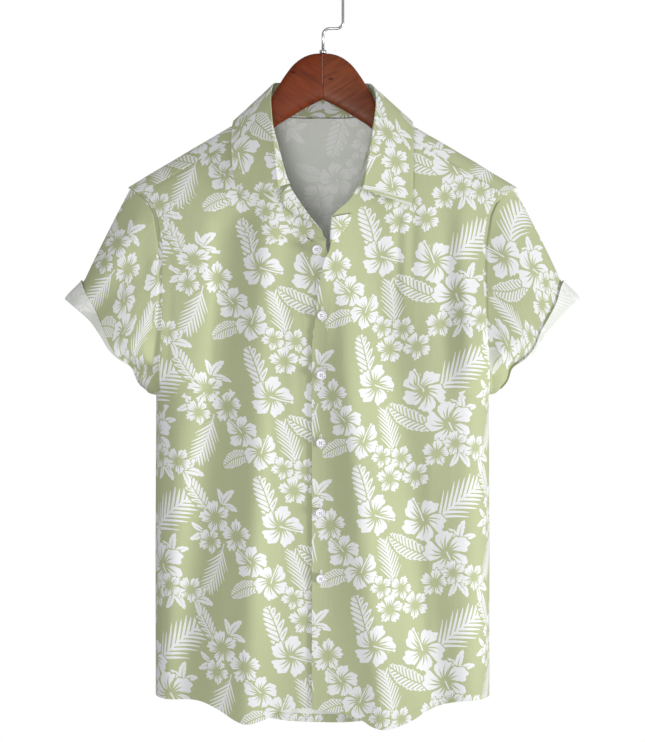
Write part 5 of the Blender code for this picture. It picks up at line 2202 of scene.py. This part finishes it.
@dataclass(frozen=True)
class ClothFinish:
    """Light printed cloth: the print over its ground colour, the weave and a soft nap.

    Attributes:
        name: the material's name.
        ground: colour between the motifs.
        motif: colour of the motifs.
        strength: how clearly the motifs show, from 0 to 1.
        variation: how far the yarn's unevenness changes the colour.
        roughness: of the face.
        sheen: weight of the nap.
        threads: threads in a metre.
    """

    name: str
    ground: Colour
    motif: Colour
    strength: float = 1.0
    variation: float = 0.1
    roughness: float = 0.86
    sheen: float = 0.08
    threads: float = 2300.0

    def make(self, floral: bpy.types.NodeTree, weave: bpy.types.NodeTree) -> bpy.types.Material:
        """Builds the material on the piece's own chart.

        Args:
            floral: group of the print.
            weave: group of the weave.

        Returns:
            The material.
        """
        material, nodes, shader = surface(self.name)
        place = nodes.add("UVMap", uv_map="cloth").outputs[0]
        motif = nodes.add("Group", node_tree=floral)
        woven = nodes.add("Group", node_tree=weave)
        nodes.feed(motif, {"Cloth": place})
        nodes.feed(woven, {"Cloth": place, "Threads": self.threads})
        slub = nodes.signal(woven.outputs["Slub"])
        mottle = nodes.noise(place, 9.0, 3.0)
        share = nodes.signal(motif.outputs["Motif"]) * self.strength
        ink = nodes.mix(share, self.ground, self.motif)
        shade = (slub - 0.5 + (mottle - 0.5) * 0.6).times_plus(self.variation, 1.0)
        tint = nodes.add("VectorMath", {0: ink, "Scale": shade}, operation="SCALE").outputs[0]
        crumple = nodes.noise(nodes.stretch(place, (70.0, 26.0, 1.0)), 1.0, 3.0, 0.6)
        height = nodes.signal(woven.outputs["Height"]) * 0.1 + crumple
        nodes.feed(shader, {"Base Color": tint,
                            "Roughness": slub.times_plus(0.1, self.roughness - 0.05),
                            "Sheen Weight": self.sheen, "Sheen Roughness": 0.5,
                            "Specular IOR Level": 0.25,
                            "Normal": nodes.bump(0.5, 0.0012, height)})
        return material


@dataclass(frozen=True)
class WoodFinish:
    """Varnished wood: streaks and pores along the arm, smudged darker in places."""

    name: str
    light: Colour
    dark: Colour
    slope: float
    knot: tuple[float, float]
    roughness: float = 0.38

    def make(self, grain: bpy.types.NodeTree) -> bpy.types.Material:
        """Builds the material in the object's own space, turned along the arm.

        Args:
            grain: group of the wood's grain.

        Returns:
            The material.
        """
        material, nodes, shader = surface(self.name)
        place = nodes.add("TexCoord").outputs["Object"]
        turned = nodes.stretch(place, (1.0, 1.0, 1.0), self.slope)
        wood = nodes.add("Group", {"Place": turned}, node_tree=grain)
        streak, pore = (nodes.signal(wood.outputs[key]) for key in ("Streak", "Pore"))
        smudge = (nodes.noise(place, 26.0, 3.0, 0.5) - 0.52).most(0.0) * 2.4
        split = nodes.add("SeparateXYZ", {0: place})
        x = (nodes.signal(split.outputs[0]) - self.knot[0]) * 260.0
        z = (nodes.signal(split.outputs[2]) - self.knot[1]) * 420.0
        knot = (1.0 - (x * x + z * z).power(0.5)).most(0.0)
        share = ((streak - 0.42) * 2.6 + smudge + pore * 0.35 + knot * 1.4).most(0.0).least(1.0)
        nodes.feed(shader, {"Base Color": nodes.mix(share, self.light, self.dark),
                            "Roughness": streak.times_plus(0.22, self.roughness - 0.1),
                            "Coat Weight": 0.03, "Coat Roughness": 0.3,
                            "Specular IOR Level": 0.2,
                            "Normal": nodes.bump(0.25, 0.0003, streak - pore)})
        return material


@dataclass(frozen=True)
class PlainFinish:
    """A finish of one substance with a little mottling: resin, thread or steel.

    Attributes:
        name: the material's name.
        colour: its main colour.
        other: the colour that it mottles towards.
        scale: of the mottling.
        roughness: of the surface.
        metallic: 1 for metal.
        coat: weight of a clear coat.
        bump: height of the mottling in metres.
    """

    name: str
    colour: Colour
    other: Colour
    scale: float
    roughness: float
    metallic: float = 0.0
    coat: float = 0.0
    bump: float = 0.00005

    def make(self) -> bpy.types.Material:
        """Builds the material in the object's own space.

        Returns:
            The material.
        """
        material, nodes, shader = surface(self.name)
        place = nodes.add("TexCoord").outputs["Object"]
        noise = nodes.noise(place, self.scale, 3.0, 0.8)
        share = ((noise - 0.35) * 2.5).most(0.0).least(1.0)
        nodes.feed(shader, {"Base Color": nodes.mix(share, self.colour, self.other),
                            "Roughness": noise.times_plus(0.15, self.roughness - 0.07),
                            "Metallic": self.metallic, "Coat Weight": self.coat,
                            "Normal": nodes.bump(0.4, self.bump, noise)})
        return material


class Wardrobe:
    """Every finish of the shirt and its hanger, made once."""

    def __init__(self) -> None:
        """Builds the node groups and the materials."""
        floral, weave, grain = FloralPrint().build(), weave_group(), grain_group()
        self.print_face = ClothFinish("printed cloth", (0.508, 0.55, 0.325, 1.0),
                                      (0.87, 0.88, 0.90, 1.0)).make(floral, weave)
        self.wrong_side = ClothFinish("wrong side of the cloth", (0.81, 0.84, 0.78, 1.0),
                                      (0.96, 0.96, 0.95, 1.0), strength=0.9,
                                      variation=0.14).make(floral, weave)
        self.thread = PlainFinish("sewing thread", (0.60, 0.64, 0.42, 1.0),
                                  (0.70, 0.73, 0.52, 1.0), 900.0, 0.8).make()
        self.button_thread = PlainFinish("button thread", (0.78, 0.78, 0.80, 1.0),
                                         (0.86, 0.86, 0.87, 1.0), 1200.0, 0.75).make()
        self.button = PlainFinish("pearly resin", (0.72, 0.71, 0.79, 1.0), (0.84, 0.83, 0.87, 1.0),
                                  160.0, 0.28, coat=0.35, bump=0.00002).make()
        # Lit and shaded copies of one varnished wood for the two hanger arms: the colours of the
        # light half are painted light and those of the dark half painted shade; each copy's
        # mirrored grain slope and knot are the wood's own.
        self.wood_light = WoodFinish("varnished wood, half painted lit", (0.21, 0.038, 0.007, 1.0),
                                     (0.08, 0.012, 0.004, 1.0), math.radians(-32.0),
                                     (-0.036, -0.118)).make(grain)
        self.wood_dark = WoodFinish("varnished wood, half painted in shade", (0.22, 0.054, 0.018, 1.0),
                                    (0.07, 0.014, 0.007, 1.0), math.radians(32.0),
                                    (0.010, -0.126)).make(grain)
        self.steel = PlainFinish("bright steel wire", (0.62, 0.62, 0.63, 1.0),
                                 (0.70, 0.70, 0.71, 1.0), 300.0, 0.25, metallic=1.0,
                                 bump=0.00001).make()


# ---- setting ------------------------------------------------------------------------------


@dataclass(frozen=True)
class Studio:
    """Camera, soft lights, white surround and pale floor, in metres."""

    distance: float = 2.8
    height: float = -0.482
    frame_height: float = 0.9067
    sensor: float = 36.0
    floor_z: float = -1.25
    floor_radius: float = 1.3
    floor_sides: int = 96
    surround: float = 0.38
    # name, power, width, height, place, what it looks at
    lamps: tuple[tuple[str, float, float, float, tuple[float, ...], tuple[float, ...]], ...] = (
        ("key", 600.0, 2.3, 2.7, (8.1, -3.6, -2.8), (0.0, 0.0, -0.5)),
        ("front", 34.5, 1.2, 1.2, (-0.4, -3.3, -0.9), (0.0, 0.0, -0.4)),
        ("rim", 5.0, 1.2, 1.2, (0.4, 1.7, 0.6), (0.0, 0.0, -0.4)))

    def _camera(self) -> None:
        """Level camera whose upright frame covers the given height at the garment."""
        data = bpy.data.cameras.new("camera")
        data.sensor_fit = "VERTICAL"
        data.sensor_height = self.sensor
        data.lens = self.sensor * self.distance / self.frame_height
        camera = bpy.data.objects.new("camera", data)
        camera.location = (0.0, -self.distance, self.height)
        camera.rotation_euler = (math.radians(90.0), 0.0, 0.0)
        bpy.context.scene.collection.objects.link(camera)
        bpy.context.scene.camera = camera

    def _lamps(self) -> None:
        """Rectangular area lights, each turned to its aim."""
        for name, power, wide, high, place, aim in self.lamps:
            data = bpy.data.lights.new(name, "AREA")
            data.shape, data.energy, data.size, data.size_y = "RECTANGLE", power, wide, high
            lamp = bpy.data.objects.new(name, data)
            lamp.location = place
            way = np.array(aim) - np.array(place)
            flat = math.hypot(way[0], way[1])
            lamp.rotation_euler = (math.atan2(flat, -way[2]), 0.0, math.atan2(-way[0], way[1]))
            bpy.context.scene.collection.objects.link(lamp)

    def _surround(self) -> None:
        """White world, dimmer as a light than as a backdrop."""
        world = bpy.data.worlds.new("surround")
        world.use_nodes = True
        nodes = Nodes(world.node_tree)
        back = world.node_tree.nodes["Background"]
        seen = nodes.signal(nodes.add("LightPath").outputs["Is Camera Ray"])
        strength = seen.times_plus(1.0 - self.surround, self.surround)
        nodes.feed(back, {"Color": (1.0, 1.0, 1.0, 1.0), "Strength": strength})
        bpy.context.scene.world = world

    def _floor(self) -> None:
        """Round pale floor below the garment."""
        turn = full_turn(self.floor_sides)
        ring = coords(self.floor_radius * np.cos(turn), self.floor_radius * np.sin(turn),
                      self.floor_z) / MM
        finish = PlainFinish("pale floor", (0.80, 0.80, 0.80, 1.0), (0.82, 0.82, 0.82, 1.0),
                             3.0, 0.6).make()
        new_object("floor", ring, [list(range(self.floor_sides))], [finish],
                            smooth=False)

    def build(self) -> None:
        """Sets up the view, the light and the floor."""
        self._camera()
        self._lamps()
        self._surround()
        self._floor()
        bpy.context.scene.view_settings.view_transform = "Standard"


@dataclass(frozen=True)
class Cut:
    """The flat cut of one sheet of cloth, in metres, and how it is held."""

    piece: str
    width: float
    length: float
    area: float
    held: Held
    rests_on: tuple[str, ...]
    pieces: tuple[str, ...] = ()

    def declare(self) -> None:
        """Does nothing; the cut is not passed to the frame."""


CUTS = (
    Cut("front_left", 0.285, 0.735, 0.162, Held.HUNG, ("sewn_yoke",),
        ("hem_front_left", "stitches_front_left")),
    Cut("front_right", 0.285, 0.737, 0.157, Held.HUNG, ("sewn_yoke",),
        ("hem_front_right", "stitches_front_right")),
    Cut("back", 0.532, 0.655, 0.293, Held.HUNG, ("sewn_yoke",), ("hem_back", "stitches_back")),
    Cut("yoke", 0.500, 0.166, 0.057, Held.HUNG, ("carved_hanger_left", "carved_hanger_right"),
        ("stitches_yoke",)),
    Cut("collar", 0.460, 0.120, 0.038, Held.FOLDED, ("sewn_yoke",), ("stitches_collar",)),
    Cut("sleeve_left", 0.570, 0.158, 0.0425, Held.HUNG, ("sewn_yoke",)),
    Cut("sleeve_right", 0.570, 0.158, 0.0425, Held.HUNG, ("sewn_yoke",)),
    Cut("turnup_left", 0.398, 0.033, 0.0046, Held.FOLDED, ("sewn_sleeve_left",)),
    Cut("turnup_right", 0.398, 0.033, 0.0046, Held.FOLDED, ("sewn_sleeve_right",)),
    Cut("facing_left", 0.029, 0.046, 0.0006, Held.FOLDED, ("sewn_front_left",)),
    Cut("facing_right", 0.022, 0.064, 0.0008, Held.FOLDED, ("sewn_front_right",)),
)


def cloth_area(name: str) -> float:
    """Area of a sheet in square metres, for the log."""
    return sum(face.area for face in bpy.data.objects["sewn_" + name].data.polygons)


BUTTONS = 6


def main() -> None:
    """Builds the shirt, its hanger and its setting."""
    logging.basicConfig(level=logging.INFO, format="%(name)s: %(message)s")
    wardrobe = Wardrobe()
    body, yoke = Body(), Yoke()
    body.build(wardrobe)
    yoke.build(wardrobe)
    Collar().build(wardrobe, yoke, body)
    left_folds = (
        (130, 96, 13, 6), (150, 122, 13, -7), (62, 48, 16, 3), (250, 262, 20, 4),
        (222, 232, 14, -5))
    right_folds = (
        (126, 98, 14, 6), (148, 122, 13, -7), (70, 56, 15, -4), (42, 34, 14, 3), (255, 258, 20, 4),
        (225, 236, 14, -5))
    Sleeve(Side.LEFT, left_folds, Lay(across=84.6, down=-95.6, turn=-23.0)).build(wardrobe)
    Sleeve(Side.RIGHT, right_folds, Lay(across=82.1, down=-90.0, turn=36.0)).build(wardrobe)
    right_roll = (
        (-40.6, -258.5, -50.3, -268.5), (-37.5, -264.5, -49.4, -275),
        (-31.8, -273.5, -46.5, -281.5), (-23.2, -286, -41.5, -288.5), (-13.6, -299, -29.5, -295),
        (-5, -308.5, -14.5, -302))
    left_roll = (
        (11.6, -297.5, 36, -292.5), (10.9, -305, 32.6, -303), (10.4, -313, 24.5, -315),
        (10, -321, 17, -323.5), (9.7, -328, 11.6, -329))
    Facing(Side.RIGHT, right_roll, Lay(across=195.0, down=133.0)).build(wardrobe)
    Facing(Side.LEFT, left_roll, Lay(across=12.0, down=190.0)).build(wardrobe)
    for number in range(1, BUTTONS + 1):
        Button(number).build(wardrobe)
    Hanger().build(wardrobe)
    for cut in CUTS:
        log.info("%s covers %.4f square metres", cut.piece, cloth_area(cut.piece))
        cut.declare()
    Studio().build()


if __name__ == "__main__":
    main()
